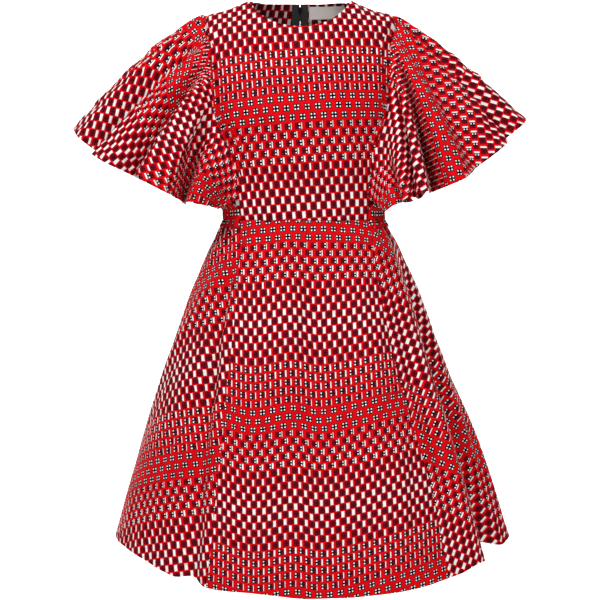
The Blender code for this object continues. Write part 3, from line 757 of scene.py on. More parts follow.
def sleeve_point(strips, valleys, side, turn, reach):
    """The sleeve with its valleys pressed in and its lobes lapping over them."""

    def base(a, b):
        return sleeve_base(strips, side, a, b)

    along = base(turn + SLOPE_STEP, reach) - base(turn - SLOPE_STEP, reach)
    nearer, further = np.maximum(reach - SLOPE_STEP, 0), np.minimum(reach + SLOPE_STEP, 1)
    outwards = base(turn, further) - base(turn, nearer)
    normal = unit(np.cross(along, outwards)) * side
    metres_per_turn = np.linalg.norm(along, axis=-1) / (2 * SLOPE_STEP)
    along = unit(along)
    inward = np.zeros_like(turn)
    slide = np.zeros_like(turn)
    for valley in valleys:
        apart = (turn - valley.turn) / (FOLD_NARROWER * valley.half_width)
        inward += FOLD_DEEPER * valley.depth * hump(apart)
        slide += LEAN_SHARE * valley.lean * hump(apart)
        if valley.lean:
            pinch = NECK_PINCH * valley.half_width * metres_per_turn
            slide -= np.where(np.abs(apart) < 1, pinch * np.sin(math.pi * apart), 0.0)
    rise = power(reach, FOLD_RISE)
    pulled = normal + FOLD_PULL * unit(outwards)
    return base(turn, reach) - pulled * (inward * rise)[..., None] + along * (slide * rise)[..., None]


def sleeve_extra(tucks, turn, reach):
    """How much wider the sleeve's cloth is than its shape shows, as a share."""
    return reach * sum(tuck.spare * hump((turn - tuck.turn) / tuck.half_width) for tuck in tucks)


def grid_normals(points):
    """A normal for each point of a grid whose rows go down and columns to the right."""
    down = np.gradient(points, axis=0)
    right = np.gradient(points, axis=1)
    return unit(np.cross(down, right))


def distances(points):
    """How far each point of a grid is from its left, right, top and low edges, along the cloth."""
    across = np.cumsum(np.linalg.norm(np.diff(points, axis=1), axis=2), axis=1)
    down = np.cumsum(np.linalg.norm(np.diff(points, axis=0), axis=2), axis=0)
    left = np.pad(across, ((0, 0), (1, 0)))
    top = np.pad(down, ((1, 0), (0, 0)))
    return left, left[:, -1:] - left, top, top[-1:] - top


def waves(across, down, seed, length_across, length_down, count=7):
    """A soft uneven wave between about -1 and 1 from a few sines of fixed random directions."""
    draw = np.random.RandomState(seed)
    total = np.zeros(np.broadcast(across, down).shape)
    for _ in range(count):
        a = draw.uniform(0.6, 1.5) * draw.choice((-1, 1)) / length_across
        b = draw.uniform(-1.0, 1.0) / length_down
        total += np.sin(FULL_TURN * (a * across + b * down) + draw.uniform(0, FULL_TURN))
    return total / math.sqrt(count)


def flatten(points, extra=None, ring=True):
    """The cloth of a grid laid flat, as near as it goes without stretching: x right, y down."""
    plain = np.linalg.norm(np.diff(points, axis=1), axis=2)
    right = plain
    if extra is not None:
        right = plain * (1 + (extra[:, 1:] + extra[:, :-1]) / 2)
    wider = right / plain
    wider = (wider[1:] + wider[:-1]) / 2
    down = np.linalg.norm(np.diff(points, axis=0), axis=2)
    falling = np.linalg.norm(points[1:, 1:] - points[:-1, :-1], axis=2) * wider
    rising = np.linalg.norm(points[:-1, 1:] - points[1:, :-1], axis=2) * wider
    if not ring:
        # A panel starts as it is seen square on
        facing = unit(grid_normals(points).mean((0, 1)))
        across = unit(np.cross((0.0, 0.0, -1.0), -facing))
        falls = np.cross(facing, across)
        falls = falls * np.sign(falls @ (points[-1] - points[0]).mean(0))
        flat = np.stack((points @ across, points @ falls), axis=-1)
        if (flat[:, -1] - flat[:, 0]).mean(0)[0] < 0:
            flat[..., 0] *= -1
    else:
        # A flared piece starts as a part of a ring
        turn = (right[-1].sum() - right[0].sum()) / down.sum(0).mean()
        turn = turn if abs(turn) > LEAST_TURN else LEAST_TURN
        radii = right[0].sum() / turn + np.pad(np.cumsum(down.mean(1)), (1, 0))
        shares = np.pad(np.cumsum(right, axis=1), ((0, 0), (1, 0)))
        angles = turn * (shares / shares[:, -1:] - 0.5)
        flat = np.stack((radii[:, None] * np.sin(angles), radii[:, None] * np.cos(angles)), -1)
    rows, columns = flat.shape[:2]
    index = np.arange(rows * columns).reshape(rows, columns)
    pairs = (
        (index[:, :-1], index[:, 1:], right),
        (index[:-1], index[1:], down),
        (index[:-1, :-1], index[1:, 1:], falling),
        (index[1:, :-1], index[:-1, 1:], rising),
    )
    first = np.concatenate([a.ravel() for a, _, _ in pairs])
    second = np.concatenate([b.ravel() for _, b, _ in pairs])
    rest = np.concatenate([length.ravel() for _, _, length in pairs])
    many = np.bincount(first, minlength=index.size) + np.bincount(second, minlength=index.size)
    flat = flat.reshape(-1, 2)
    for _ in range(FLAT_ROUNDS):
        apart = flat[second] - flat[first]
        length = np.linalg.norm(apart, axis=1)
        move = apart * (0.5 * (length - rest) / np.maximum(length, TINY))[:, None]
        for axis in (0, 1):
            push = np.bincount(first, move[:, axis], index.size)
            push -= np.bincount(second, move[:, axis], index.size)
            flat[:, axis] += FLAT_PULL * push / many
    return flat.reshape(rows, columns, 2)


def thinned(count, most):
    """About so many of a grid's rows or columns, its first and last among them."""
    return np.unique(np.linspace(0, count - 1, min(count, most)).round().astype(int))


def spread_back(coarse, rows, columns, shape):
    """A coarse grid's values spread smoothly over the grid it was thinned from."""
    tall = through(rows, coarse, np.arange(shape[0]))
    return np.swapaxes(through(columns, np.swapaxes(tall, 0, 1), np.arange(shape[1])), 0, 1)


def print_map(name, points, extra=None, ring=True):
    """Where each point of a piece lies on the printed cloth, in metres, and the flat piece."""
    rows = thinned(points.shape[0], FLAT_ROWS)
    columns = thinned(points.shape[1], FLAT_COLUMNS if extra is None else FLAT_SLEEVE_COLUMNS)
    coarse = points[np.ix_(rows, columns)]
    more = None if extra is None else extra[np.ix_(rows, columns)]
    flat = flatten(coarse, more, ring)
    place = PRINT_PLACES[name]
    # The nearest point there, and of several layers the foremost
    x, y, z = np.moveaxis(coarse[1:-1, 1:-1], -1, 0)
    off = (x - place.x) ** 2 + (z - place.z) ** 2 + FRONT_WEIGHT * y
    r, c = np.unravel_index(np.argmin(off), off.shape)
    r, c = r + 1, c + 1
    steps = np.array((flat[r, c + 1] - flat[r, c - 1], flat[r + 1, c] - flat[r - 1, c]))
    climbs = (coarse[r, c + 1, 2] - coarse[r, c - 1, 2], coarse[r + 1, c, 2] - coarse[r - 1, c, 2])
    slope = np.linalg.solve(steps, climbs)
    level = unit(np.array((-slope[1], slope[0])))
    level = level if level @ steps[0] > 0 else -level
    slant = math.radians(place.slant)
    row_way = np.array(
        (
            level[0] * math.cos(slant) + level[1] * math.sin(slant),
            level[1] * math.cos(slant) - level[0] * math.sin(slant),
        )
    )
    down_way = np.array((-row_way[1], row_way[0]))
    sizes = bpy.context.scene.dress_print
    moved = flat - flat[r, c]
    across = moved @ row_way + place.column * sizes.cell_width
    down = moved @ down_way
    if name == "skirt_front":
        places, falls = zip(*SKIRT_FRONT_SWAGS)
        grown = smooth_step(np.linspace(SWAG_AT_WAIST, SWAG_AT_HEM, len(rows)))
        down = down - through(places, falls, coarse[..., 0]) * grown[:, None]
    if name in PRINT_SLIPS:
        slip = PRINT_SLIPS[name]
        past = smooth_step((columns / (points.shape[1] - 1) - slip.share) / slip.width + 0.5)
        down = down + slip.rows * sizes.row_height * (past - past[c])
    down = (down + place.crowd * down * down) / (sizes.row_height * place.tall)
    pitches = np.array([band.pitch for band in PRINT for _ in range(band.rows)] * CYCLES_LAID)
    edges = np.pad(np.cumsum(pitches), (1, 0))
    numbers = np.arange(len(edges)) - float(CYCLES_ABOVE * PRINT_CYCLE)
    edges -= np.interp(place.row, numbers, edges)
    uv = np.stack((across, np.interp(down, edges, numbers) * sizes.row_height), axis=-1)
    return spread_back(uv, rows, columns, points.shape[:2]), flat


def new_mesh_object(name, vertices, faces, materials, uv=None, inner=None):
    """An object from arrays of points and four-cornered faces, with one UV for each point."""
    mesh = bpy.data.meshes.new(name)
    mesh.vertices.add(len(vertices))
    mesh.vertices.foreach_set("co", np.asarray(vertices, np.float32).ravel())
    mesh.loops.add(faces.size)
    mesh.loops.foreach_set("vertex_index", faces.astype(np.int32).ravel())
    mesh.polygons.add(len(faces))
    mesh.polygons.foreach_set("loop_start", np.arange(0, faces.size, 4, dtype=np.int32))
    mesh.polygons.foreach_set("loop_total", np.full(len(faces), 4, np.int32))
    for material in materials:
        mesh.materials.append(material)
    if inner is not None:
        mesh.polygons.foreach_set("material_index", inner.astype(np.int32))
    mesh.update()
    if uv is not None:
        layer = mesh.uv_layers.new(name="cloth")
        layer.data.foreach_set("uv", uv[faces.ravel()].astype(np.float32).ravel())
    mesh.shade_smooth()
    mesh.set_sharp_from_angle(angle=CLOTH_SHARP)
    mesh.validate()
    made = bpy.data.objects.new(name, mesh)
    bpy.context.scene.collection.objects.link(made)
    return made


def wall_faces(rows, columns):
    """Faces of a closed wall between an outer and an inner grid, and which of them are inner."""
    outer = np.arange(rows * columns).reshape(rows, columns)
    inner = outer + rows * columns

    def sheet(grid):
        return np.stack((grid[:-1, :-1], grid[1:, :-1], grid[1:, 1:], grid[:-1, 1:]), -1).reshape(-1, 4)

    def rim(near, far):
        return np.stack((near[:-1], near[1:], far[1:], far[:-1]), axis=-1)

    faces = [sheet(outer), sheet(inner)[:, ::-1], rim(outer[0], inner[0])]
    faces.append(rim(outer[:, -1], inner[:, -1]))
    faces.append(rim(outer[-1][::-1], inner[-1][::-1]))
    faces.append(rim(outer[:, 0][::-1], inner[:, 0][::-1]))
    inside = np.concatenate([np.full(len(f), i == 1) for i, f in enumerate(faces)])
    return np.concatenate(faces), inside


def cloth_piece(name, points, uv, materials, thickness, normals=None):
    """A closed wall of cloth: its outer face through a grid of points, its inner face behind."""
    normals = grid_normals(points) if normals is None else normals
    inner = points - normals * thickness
    vertices = np.concatenate((points.reshape(-1, 3), inner.reshape(-1, 3)))
    faces, inside = wall_faces(*points.shape[:2])
    both = np.concatenate((uv.reshape(-1, 2), uv.reshape(-1, 2)))
    return new_mesh_object(name, vertices, faces, materials, both, inside)


def cells_area(grid):
    """The area of a grid's cells, flat or not."""
    grid = np.pad(grid, ((0, 0), (0, 0), (0, 3 - grid.shape[2])))
    falling = grid[1:, 1:] - grid[:-1, :-1]
    rising = grid[1:, :-1] - grid[:-1, 1:]
    return 0.5 * np.linalg.norm(np.cross(falling, rising), axis=2).sum()


def cloth_relief(name, points, hems, amount):
    """How far a piece's face stands out of its plain shape at its seams, hems and creases."""
    sizes = bpy.context.scene.dress_sizes
    left, right, top, low = distances(points)
    depth = np.zeros(left.shape)
    for edge in (left, right):
        depth -= sizes.seam_roll * np.exp(-((edge / SEAM_WIDTH) ** 2))
        drift = PUCKER_UNEVEN * np.sin(FULL_TURN * top / PUCKER_DRIFT)
        pucker = np.sin(FULL_TURN * top / PUCKER_WAVE + drift)
        depth += PUCKER_DEPTH * pucker * np.exp(-edge / PUCKER_REACH)
    for edge_name, hem in hems:
        edge = top if edge_name == "top" else low
        depth -= HEM_GROOVE * np.exp(-(((edge - hem) / HEM_GROOVE_WIDTH) ** 2))
        depth += HEM_STEP * smooth_step((hem - edge) / HEM_STEP_WIDTH)
        drift = HEM_PULL_UNEVEN * np.sin(FULL_TURN * left / HEM_PULL_DRIFT)
        pull = np.sin(FULL_TURN * left / HEM_PULL_WAVE + drift)
        depth += HEM_PULL * pull * np.exp(-np.abs(edge - hem) / HEM_PULL_REACH)
    seed = sum(ord(letter) for letter in name)
    creases = waves(left, top, seed, *SOFT_CREASE)
    creases = creases + FINE_SHARE * waves(left, top, seed + 1, *FINE_CREASE)
    inside = smooth_step(np.minimum(left, right) / FLAT_BESIDE_SEAM)
    return depth + amount * sizes.crease * creases * inside


def finish_cloth(name, points, hems=(), extra=None, ring=True, amount=1.0):
    """Gives a grid its seams, hems and creases and makes its wall."""
    uv, flat = print_map(name, points, extra, ring)
    shaped = points + grid_normals(points) * cloth_relief(name, points, hems, amount)[..., None]
    # The inside faces get the same print drawn darker: painted shade
    cotton = (
        wax_print("wax print cotton", 1.0),
        wax_print("wax print cotton, inside", INSIDE_PAINTED_SHADE),
    )
    made = cloth_piece(name, shaped, uv, cotton, bpy.context.scene.dress_sizes.cloth)
    wide, tall = np.ptp(flat.reshape(-1, 2), axis=0)
    # A sleeve's tucked cloth overlaps itself when flat, so its area is the shape's own
    area = cells_area(flat if extra is None else points)
    area = min(max(area, LEAST_AREA_SHARE * wide * tall), wide * tall)
    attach(made, body)
    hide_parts(name)
    return shaped


def panel_grid(table, surface, piece, side, rows, columns):
    """Points of one panel, from its left edge to its right one as it faces out."""
    rows = np.asarray(rows, float)
    if piece == "front":
        near, far = -seam_angles(table, -1, rows)[0], seam_angles(table, 1, rows)[0]
    else:
        front, back = seam_angles(table, side, rows)
        slit = 0.5 * BACK_SLIT / column(table, "side_x", rows)
        centre = math.pi - np.arcsin(power(slit, 1 / squareness_at(table, rows)))
        near, far = (front, back) if piece == "side" else (back, centre)
        if side < 0:
            near, far = -far, -near
    share = np.linspace(0, 1, columns)
    share = share - EDGE_CROWDING * np.sin(FULL_TURN * share) / FULL_TURN
    angle = near[:, None] + (far - near)[:, None] * share
    return surface(angle, np.broadcast_to(rows[:, None], angle.shape).copy())


def detail(count):
    return count


# The shown face of each hemmed piece, kept for its stitches
shown_faces = {}


class DRESS_OT_bodice(bpy.types.Operator):
    """Front, back and side panels of the bodice"""

    bl_idname = "dress.bodice"
    bl_label = "Bodice"

    def execute(self, context):
        rows = np.linspace(0, WAIST, detail(150))
        grid = panel_grid(BODICE, bodice_point, "front", 0, rows, detail(120))
        hems = [("top", NECK_HEM)]
        shown_faces["bodice_front"] = finish_cloth("bodice_front", grid, hems, ring=False)
        for word, side in SIDES:
            grid = panel_grid(BODICE, bodice_point, "back", side, rows, detail(76))
            name = f"bodice_back_{word}"
            shown_faces[name] = finish_cloth(name, grid, hems, ring=False)
            under = np.linspace(UNDERARM, WAIST, detail(60))
            grid = panel_grid(BODICE, bodice_point, "side", side, under, detail(96))
            finish_cloth(f"bodice_side_{word}", grid, [("top", UNDERARM_HEM)], ring=False)
        return {"FINISHED"}


class DRESS_OT_skirt(bpy.types.Operator):
    """Front, side and back gores of the skirt"""

    bl_idname = "dress.skirt"
    bl_label = "Skirt"

    def execute(self, context):
        hems = [("low", context.scene.dress_sizes.skirt_hem)]
        rows = np.linspace(0, HEM, detail(190))
        grid = panel_grid(SKIRT, skirt_point, "front", 0, rows, detail(120))
        shown_faces["skirt_front"] = finish_cloth("skirt_front", grid, hems, amount=SKIRT_CREASES)
        for word, side in SIDES:
            for piece, columns in (("side", 190), ("back", 110)):
                grid = panel_grid(SKIRT, skirt_point, piece, side, rows, detail(columns))
                name = f"skirt_{piece}_{word}"
                shown_faces[name] = finish_cloth(
                    name, grid, hems, amount=SKIRT_CREASES
                )
        return {"FINISHED"}


class DRESS_OT_sleeves(bpy.types.Operator):
    """Two flounce sleeves with their lobes and folds"""

    bl_idname = "dress.sleeves"
    bl_label = "Sleeves"

    def execute(self, context):
        hems = [("low", context.scene.dress_sizes.sleeve_hem)]
        reach = np.linspace(0, 1, detail(90))
        for word, side, strips, valleys, tucks in (
            ("left", -1, LEFT_STRIPS, LEFT_VALLEYS, LEFT_TUCKS),
            ("right", 1, RIGHT_STRIPS, RIGHT_VALLEYS, RIGHT_TUCKS),
        ):
            turn = np.linspace(-SLEEVE_END, SLEEVE_END, detail(480))
            turns, reaches = np.meshgrid(turn, reach)
            grid = sleeve_point(strips, valleys, side, turns, reaches)
            extra = sleeve_extra(tucks, turns, reaches)
            if side > 0:
                grid = grid[:, ::-1]
                extra = extra[:, ::-1]
            name = f"sleeve_{word}"
            shown_faces[name] = finish_cloth(name, grid, hems, extra)
        return {"FINISHED"}


class DRESS_OT_casings(bpy.types.Operator):
    """The gathered waist casing with its small frill, at each side"""

    bl_idname = "dress.casings"
    bl_label = "Waist casings"

    def execute(self, context):
        for word, side in SIDES:
            lines = []
            for row in CASING:
                table, surface, plain = SURFACES[row.on]
                front, back = seam_angles(table, side, np.array(row.row))
                half_slit = 0.5 * BACK_SLIT / column(table, "side_x", np.array(row.row))
                flank = np.linspace(front, back, detail(200))
                rear = np.linspace(back, math.pi - CASING_SLIT_SHARE * half_slit, detail(110))
                angle = side * np.concatenate((flank[:-1], rear))
                angle = angle if side > 0 else angle[::-1]
                out = row.out + row.ruffle * gather_wave(table, angle, row.row)
                at = np.full_like(angle, row.row)
                lines.append(surface(angle, at) + sideways(plain, angle, at) * out[:, None])
            grid = through(range(len(lines)), lines, np.linspace(0, len(lines) - 1, detail(34)))
            left, _, top, _ = distances(grid)
            frill = smooth_step((FRILL_HEIGHT - top) / FRILL_HEIGHT)
            ripple = waves(left, 0, FRILL_SEED + side, FRILL_WAVE, 1.0, CASING_SINES)
            ripple *= FRILL_RIPPLE * frill
            ripple += CHANNEL_RIPPLE * waves(
                left, 0, CHANNEL_SEED + side, CHANNEL_WAVE, 1.0, CASING_SINES
            )
            grid = grid + grid_normals(grid) * ripple[..., None]
            hems = [("low", CASING_HEM)]
            name = f"waist_casing_{word}"
            finish_cloth(name, grid, hems, amount=CASING_CREASES)
        return {"FINISHED"}


def back_point(x, at):
    """Points of the plain back, x away from its centre line; at counts on from bodice to skirt."""
    x, at = np.broadcast_arrays(np.asarray(x, float), np.asarray(at, float))
    made = np.zeros(x.shape + (3,))
    for table, low in ((BODICE, True), (SKIRT, False)):
        here = at if low else at - WAIST
        here = np.clip(here, 0, len(table) - 1)
        wide = column(table, "side_x", here)
        angle = math.pi - np.arcsin(power(np.abs(x) / wide, 1 / squareness_at(table, here)))
        point = section_point(table, np.where(x < 0, -angle, angle), here)
        chosen = (at <= WAIST) if low else (at > WAIST)
        made = np.where(chosen[..., None], point, made)
    return made


def back_strip(name, xs, rows, depth, thickness, materials):
    """A strip inside the back: depth is how far its outer face lies inside the cloth's."""
    xs = np.sort(xs)[::-1]
    x, at = np.meshgrid(xs, rows)
    points = back_point(x, at)
    normals = grid_normals(points)
    points = points - normals * depth
    left, _, top, _ = distances(points)
    uv = np.stack((left, top), axis=-1)
    return cloth_piece(name, points, uv, materials, thickness, normals)


def run_along(points):
    """How far along a line of points each one is."""
    return np.concatenate(((0,), np.cumsum(np.linalg.norm(np.diff(points, axis=0), axis=1))))


def coil_turns(sizes, depth, end):
    """Where the turns of the zip's coil lie inside the closing, and their two ways."""
    dense = np.linspace(COIL_START_ROW, end, COIL_POINTS)
    run = run_along(back_point(np.zeros_like(dense), dense))
    across = np.array((1.0, 0.0, 0.0))
    places, ways, outs = [], [], []
    for _, side in SIDES:
        stops = np.arange(0.25 + 0.25 * side, run[-1] / sizes.tooth_pitch) * sizes.tooth_pitch
        at = np.interp(stops, run, dense)
        middle = back_point(np.zeros_like(at), at)
        after = back_point(np.zeros_like(at), at + COIL_STEP)
        inward = unit(np.cross(unit(after - middle), across))
        inward = np.where(inward[:, 1:2] > 0, -inward, inward)
        aside = across * side * sizes.tooth_width * COIL_ASIDE
        places.append(middle + inward * depth + aside)
        ways.append(np.broadcast_to(across, middle.shape))
        outs.append(inward)
    return [np.concatenate(part) for part in (places, ways, outs)]


def points_object(name, points, along, out):
    """Loose points that carry the ways that the shapes put on them face."""
    mesh = bpy.data.meshes.new(name)
    mesh.from_pydata([tuple(p) for p in points], [], [])
    for label, values in (("along", along), ("out", out)):
        layer = mesh.attributes.new(label, "FLOAT_VECTOR", "POINT")
        layer.data.foreach_set("vector", np.asarray(values, np.float32).ravel())
    made = bpy.data.objects.new(name, mesh)
    bpy.context.scene.collection.objects.link(made)
    return made


def feed(tree, node, inputs):
    """Sets a node's inputs to values, or links them to other nodes' outputs."""
    for key, value in inputs.items():
        if isinstance(value, bpy.types.NodeSocket):
            tree.links.new(value, node.inputs[key])
        else:
            node.inputs[key].default_value = value


def add(tree, kind, inputs=None, **settings):
    """Adds a node with its settings, values and links, and returns it."""
    made = tree.nodes.new(kind)
    for name, value in settings.items():
        setattr(made, name, value)
    feed(tree, made, inputs or {})
    return made


def repeated_shape_tree():
    """Puts one rounded bar on each point, its length along the point's way."""
    name = "rounded bars on points"
    if name in bpy.data.node_groups:
        return bpy.data.node_groups[name]
    tree = bpy.data.node_groups.new(name, "GeometryNodeTree")
    tree.interface.new_socket("Geometry", in_out="INPUT", socket_type="NodeSocketGeometry")
    for label, start in (("Length", 0.0026), ("Width", 0.0006), ("Height", 0.0005)):
        socket = tree.interface.new_socket(label, in_out="INPUT", socket_type="NodeSocketFloat")
        socket.default_value = start
    tree.interface.new_socket("Material", in_out="INPUT", socket_type="NodeSocketMaterial")
    tree.interface.new_socket("Geometry", in_out="OUTPUT", socket_type="NodeSocketGeometry")
    start = add(tree, "NodeGroupInput")
    ball = add(tree, "GeometryNodeMeshIcoSphere", {"Radius": 0.5, "Subdivisions": 2})
    along = add(tree, "GeometryNodeInputNamedAttribute", {"Name": "along"}, data_type="FLOAT_VECTOR")
    out = add(tree, "GeometryNodeInputNamedAttribute", {"Name": "out"}, data_type="FLOAT_VECTOR")
    first = add(
        tree, "FunctionNodeAlignRotationToVector", {"Vector": along.outputs["Attribute"]}, axis="X"
    )
    second = add(
        tree,
        "FunctionNodeAlignRotationToVector",
        {"Rotation": first.outputs[0], "Vector": out.outputs["Attribute"]},
        axis="Z",
        pivot_axis="X",
    )
    size = add(
        tree,
        "ShaderNodeCombineXYZ",
        {0: start.outputs["Length"], 1: start.outputs["Width"], 2: start.outputs["Height"]},
    )
    placed = add(
        tree,
        "GeometryNodeInstanceOnPoints",
        {
            "Points": start.outputs["Geometry"],
            "Instance": ball.outputs["Mesh"],
            "Rotation": second.outputs[0],
            "Scale": size.outputs[0],
        },
    )
    real = add(tree, "GeometryNodeRealizeInstances", {0: placed.outputs[0]})
    smooth = add(tree, "GeometryNodeSetShadeSmooth", {"Geometry": real.outputs[0]})
    coloured = add(
        tree,
        "GeometryNodeSetMaterial",
        {"Geometry": smooth.outputs[0], "Material": start.outputs["Material"]},
    )
    add(tree, "NodeGroupOutput", {0: coloured.outputs[0]})
    return tree


def repeated(name, points, along, out, length, width, height, material):
    """Rounded bars on points, made a plain mesh."""
    holder = points_object(name + "_points", points, along, out)
    tree = repeated_shape_tree()
    modifier = holder.modifiers.new("bars", "NODES")
    modifier.node_group = tree
    values = {"Length": length, "Width": width, "Height": height, "Material": material}
    for item in tree.interface.items_tree:
        if item.in_out == "INPUT" and item.name in values:
            modifier[item.identifier] = values[item.name]
    graph = bpy.context.evaluated_depsgraph_get()
    mesh = bpy.data.meshes.new_from_object(holder.evaluated_get(graph))
    mesh.name = name
    made = bpy.data.objects.new(name, mesh)
    bpy.context.scene.collection.objects.link(made)
    bpy.data.objects.remove(holder)
    if material.name not in mesh.materials:
        mesh.materials.append(material)
    return made


def merge(mesh):
    """Joins a mesh's loose triangles where their corners meet."""
    shape = bmesh.new()
    shape.from_mesh(mesh)
    bmesh.ops.remove_doubles(shape, verts=shape.verts, dist=MERGE_REACH)
    bmesh.ops.dissolve_limit(
        shape, angle_limit=NEARLY_FLAT, verts=shape.verts, edges=shape.edges
    )
    shape.to_mesh(mesh)
    shape.free()


def rounded_copy(node):
    """A copy of one of the zip's solids, its edges rounded."""
    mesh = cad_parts[node].data.copy()
    mesh.name = node + "_rounded"
    made = bpy.data.objects.new(node + "_rounded", mesh)
    bpy.context.scene.collection.objects.link(made)
    mesh.materials.clear()
    mesh.materials.append(nylon_slider())
    merge(mesh)
    bevel = made.modifiers.new("Bevel", "BEVEL")
    bevel.width = SLIDER_ROUNDING
    bevel.segments = 3
    bevel.limit_method = "ANGLE"
    mesh.shade_smooth()
    mesh.set_sharp_from_angle(angle=SLIDER_SHARP)
    return made


class DRESS_OT_zip(bpy.types.Operator):
    """The zip at the centre of the back: tapes, coil, slider and pull tab"""

    bl_idname = "dress.zip"
    bl_label = "Zip"

    def execute(self, context):
        sizes = context.scene.dress_zip
        under = CAD_CLOTH + TAPE_GAP
        end = WAIST + ZIP_END_ROW
        tape = woven_tape()
        for word, side in SIDES:
            xs = side * np.linspace(BACK_SLIT / 2, TAPE_WIDTH, 9)
            rows = np.linspace(ZIP_TOP_ROW, end, detail(240))
            made = back_strip(f"zip_tape_{word}", xs, rows, under, TAPE_THICKNESS, (tape,))
            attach(made, body)
            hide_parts(f"zip_tape_{word}")
        coil = repeated(
            "zip_coil_turns",
            *coil_turns(sizes, under + TAPE_THICKNESS + COIL_OFFSET, end),
            sizes.tooth_width,
            sizes.tooth_pitch * COIL_FILL,
            COIL_HEIGHT,
            moulded_nylon(),
        )
        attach(coil, body)
        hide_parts("zip_coil")
        for node, rider in (("zip_slider", body), ("zip_pull", "zip_pull")):
            made = rounded_copy(node)
            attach(made, rider)
            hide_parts(node)
        return {"FINISHED"}


class DRESS_OT_label(bpy.types.Operator):
    """The bare woven label inside the back of the neck"""

    bl_idname = "dress.label"
    bl_label = "Label"

    def execute(self, context):
        xs = np.linspace(LABEL_NEAR_X, LABEL_FAR_X, 60)
        rows = np.linspace(LABEL_TOP_ROW, LABEL_LOW_ROW, 24)
        made = back_strip(
            "neck_label_satin", xs, rows, CAD_CLOTH + LAP_GAP, LABEL_THICKNESS, (satin(),)
        )
        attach(made, body)
        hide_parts("neck_label")
        return {"FINISHED"}


def line_off_edge(grid, edge, away):
    """The points of a grid, one for each column, so far from its top or low edge."""
    top, low = distances(grid)[2:]
    depth = top if edge == "top" else low
    columns = np.arange(grid.shape[1])
    picked = np.argmin(np.abs(depth - away), axis=0)
    towards_edge = -1 if edge == "top" else 1
    step = np.where(depth[picked, columns] > away, towards_edge, -towards_edge)
    other = np.clip(picked + step, 0, grid.shape[0] - 1)
    gap = depth[other, columns] - depth[picked, columns]
    apart = np.abs(gap) > TINY
    share = np.where(apart, (away - depth[picked, columns]) / np.where(apart, gap, 1), 0)
    share = np.clip(share, 0, 1)[:, None]
    line = grid[picked, columns] * (1 - share) + grid[other, columns] * share
    return line, grid_normals(grid)[picked, columns]


def stitch_line(points, normals, pitch):
    """Stitches along a line of points: where each one is, and its two ways."""
    run = run_along(points)
    stops = np.arange(0.5, run[-1] / pitch - 0.5) * pitch

    def read(values, places):
        return np.stack([np.interp(places, run, values[:, k]) for k in range(3)], axis=-1)

    at = read(points, stops)
    out = unit(read(normals, stops))
    along = unit(read(points, stops + pitch / 2) - at)
    return at + out * STITCH_RISE, along, out


STITCHED = (
    "bodice_front",
    "bodice_back_left",
    "bodice_back_right",
    "skirt_front",
    "skirt_side_left",
    "skirt_side_right",
    "skirt_back_left",
    "skirt_back_right",
    "sleeve_left",
    "sleeve_right",
)


class DRESS_OT_stitching(bpy.types.Operator):
    """The stitches along the hems and the neck edge"""

    bl_idname = "dress.stitching"
    bl_label = "Stitching"

    def execute(self, context):
        sizes = context.scene.dress_sizes
        away = {"bodice": NECK_HEM, "skirt": sizes.skirt_hem, "sleeve": sizes.sleeve_hem}
        found = []
        for name in STITCHED:
            kind = name.split("_")[0]
            edge = "top" if kind == "bodice" else "low"
            line, normals = line_off_edge(shown_faces[name], edge, away[kind])
            found.append(stitch_line(line, normals, sizes.stitch * STITCH_GAP_SHARE))
        made = repeated(
            "hem_stitches",
            *(np.concatenate(part) for part in zip(*found)),
            sizes.stitch,
            THREAD_WIDTH,
            THREAD_HEIGHT,
            sewing_thread(),
        )
        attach(made, body)
        return {"FINISHED"}


def new_material(name):
    """A material, its tree with nothing but the shader, the shader, and whether it is new."""
    found = bpy.data.materials.get(name)
    if found is not None and "made_here" in found:
        return found, None, None, False
    made = bpy.data.materials.new(name)
    made["made_here"] = True
    made.use_nodes = True
    tree = made.node_tree
    return made, tree, tree.nodes["Principled BSDF"], True


def print_ramp(tree, row_share, values):
    """A ramp with one flat step for each row of the print, from a triple for each row."""
    ramp = add(tree, "ShaderNodeValToRGB", {0: row_share})
    ramp.color_ramp.interpolation = "CONSTANT"
    elements = ramp.color_ramp.elements
    while len(elements) > 1:
        elements.remove(elements[-1])
    last = None
    for i, value in enumerate(values):
        if value == last:
            continue
        element = elements[0] if i == 0 else elements.new(i / len(values))
        element.position = i / len(values)
        element.color = (*value, 1.0)
        last = value
    return add(tree, "ShaderNodeSeparateColor", {0: ramp.outputs[0]})


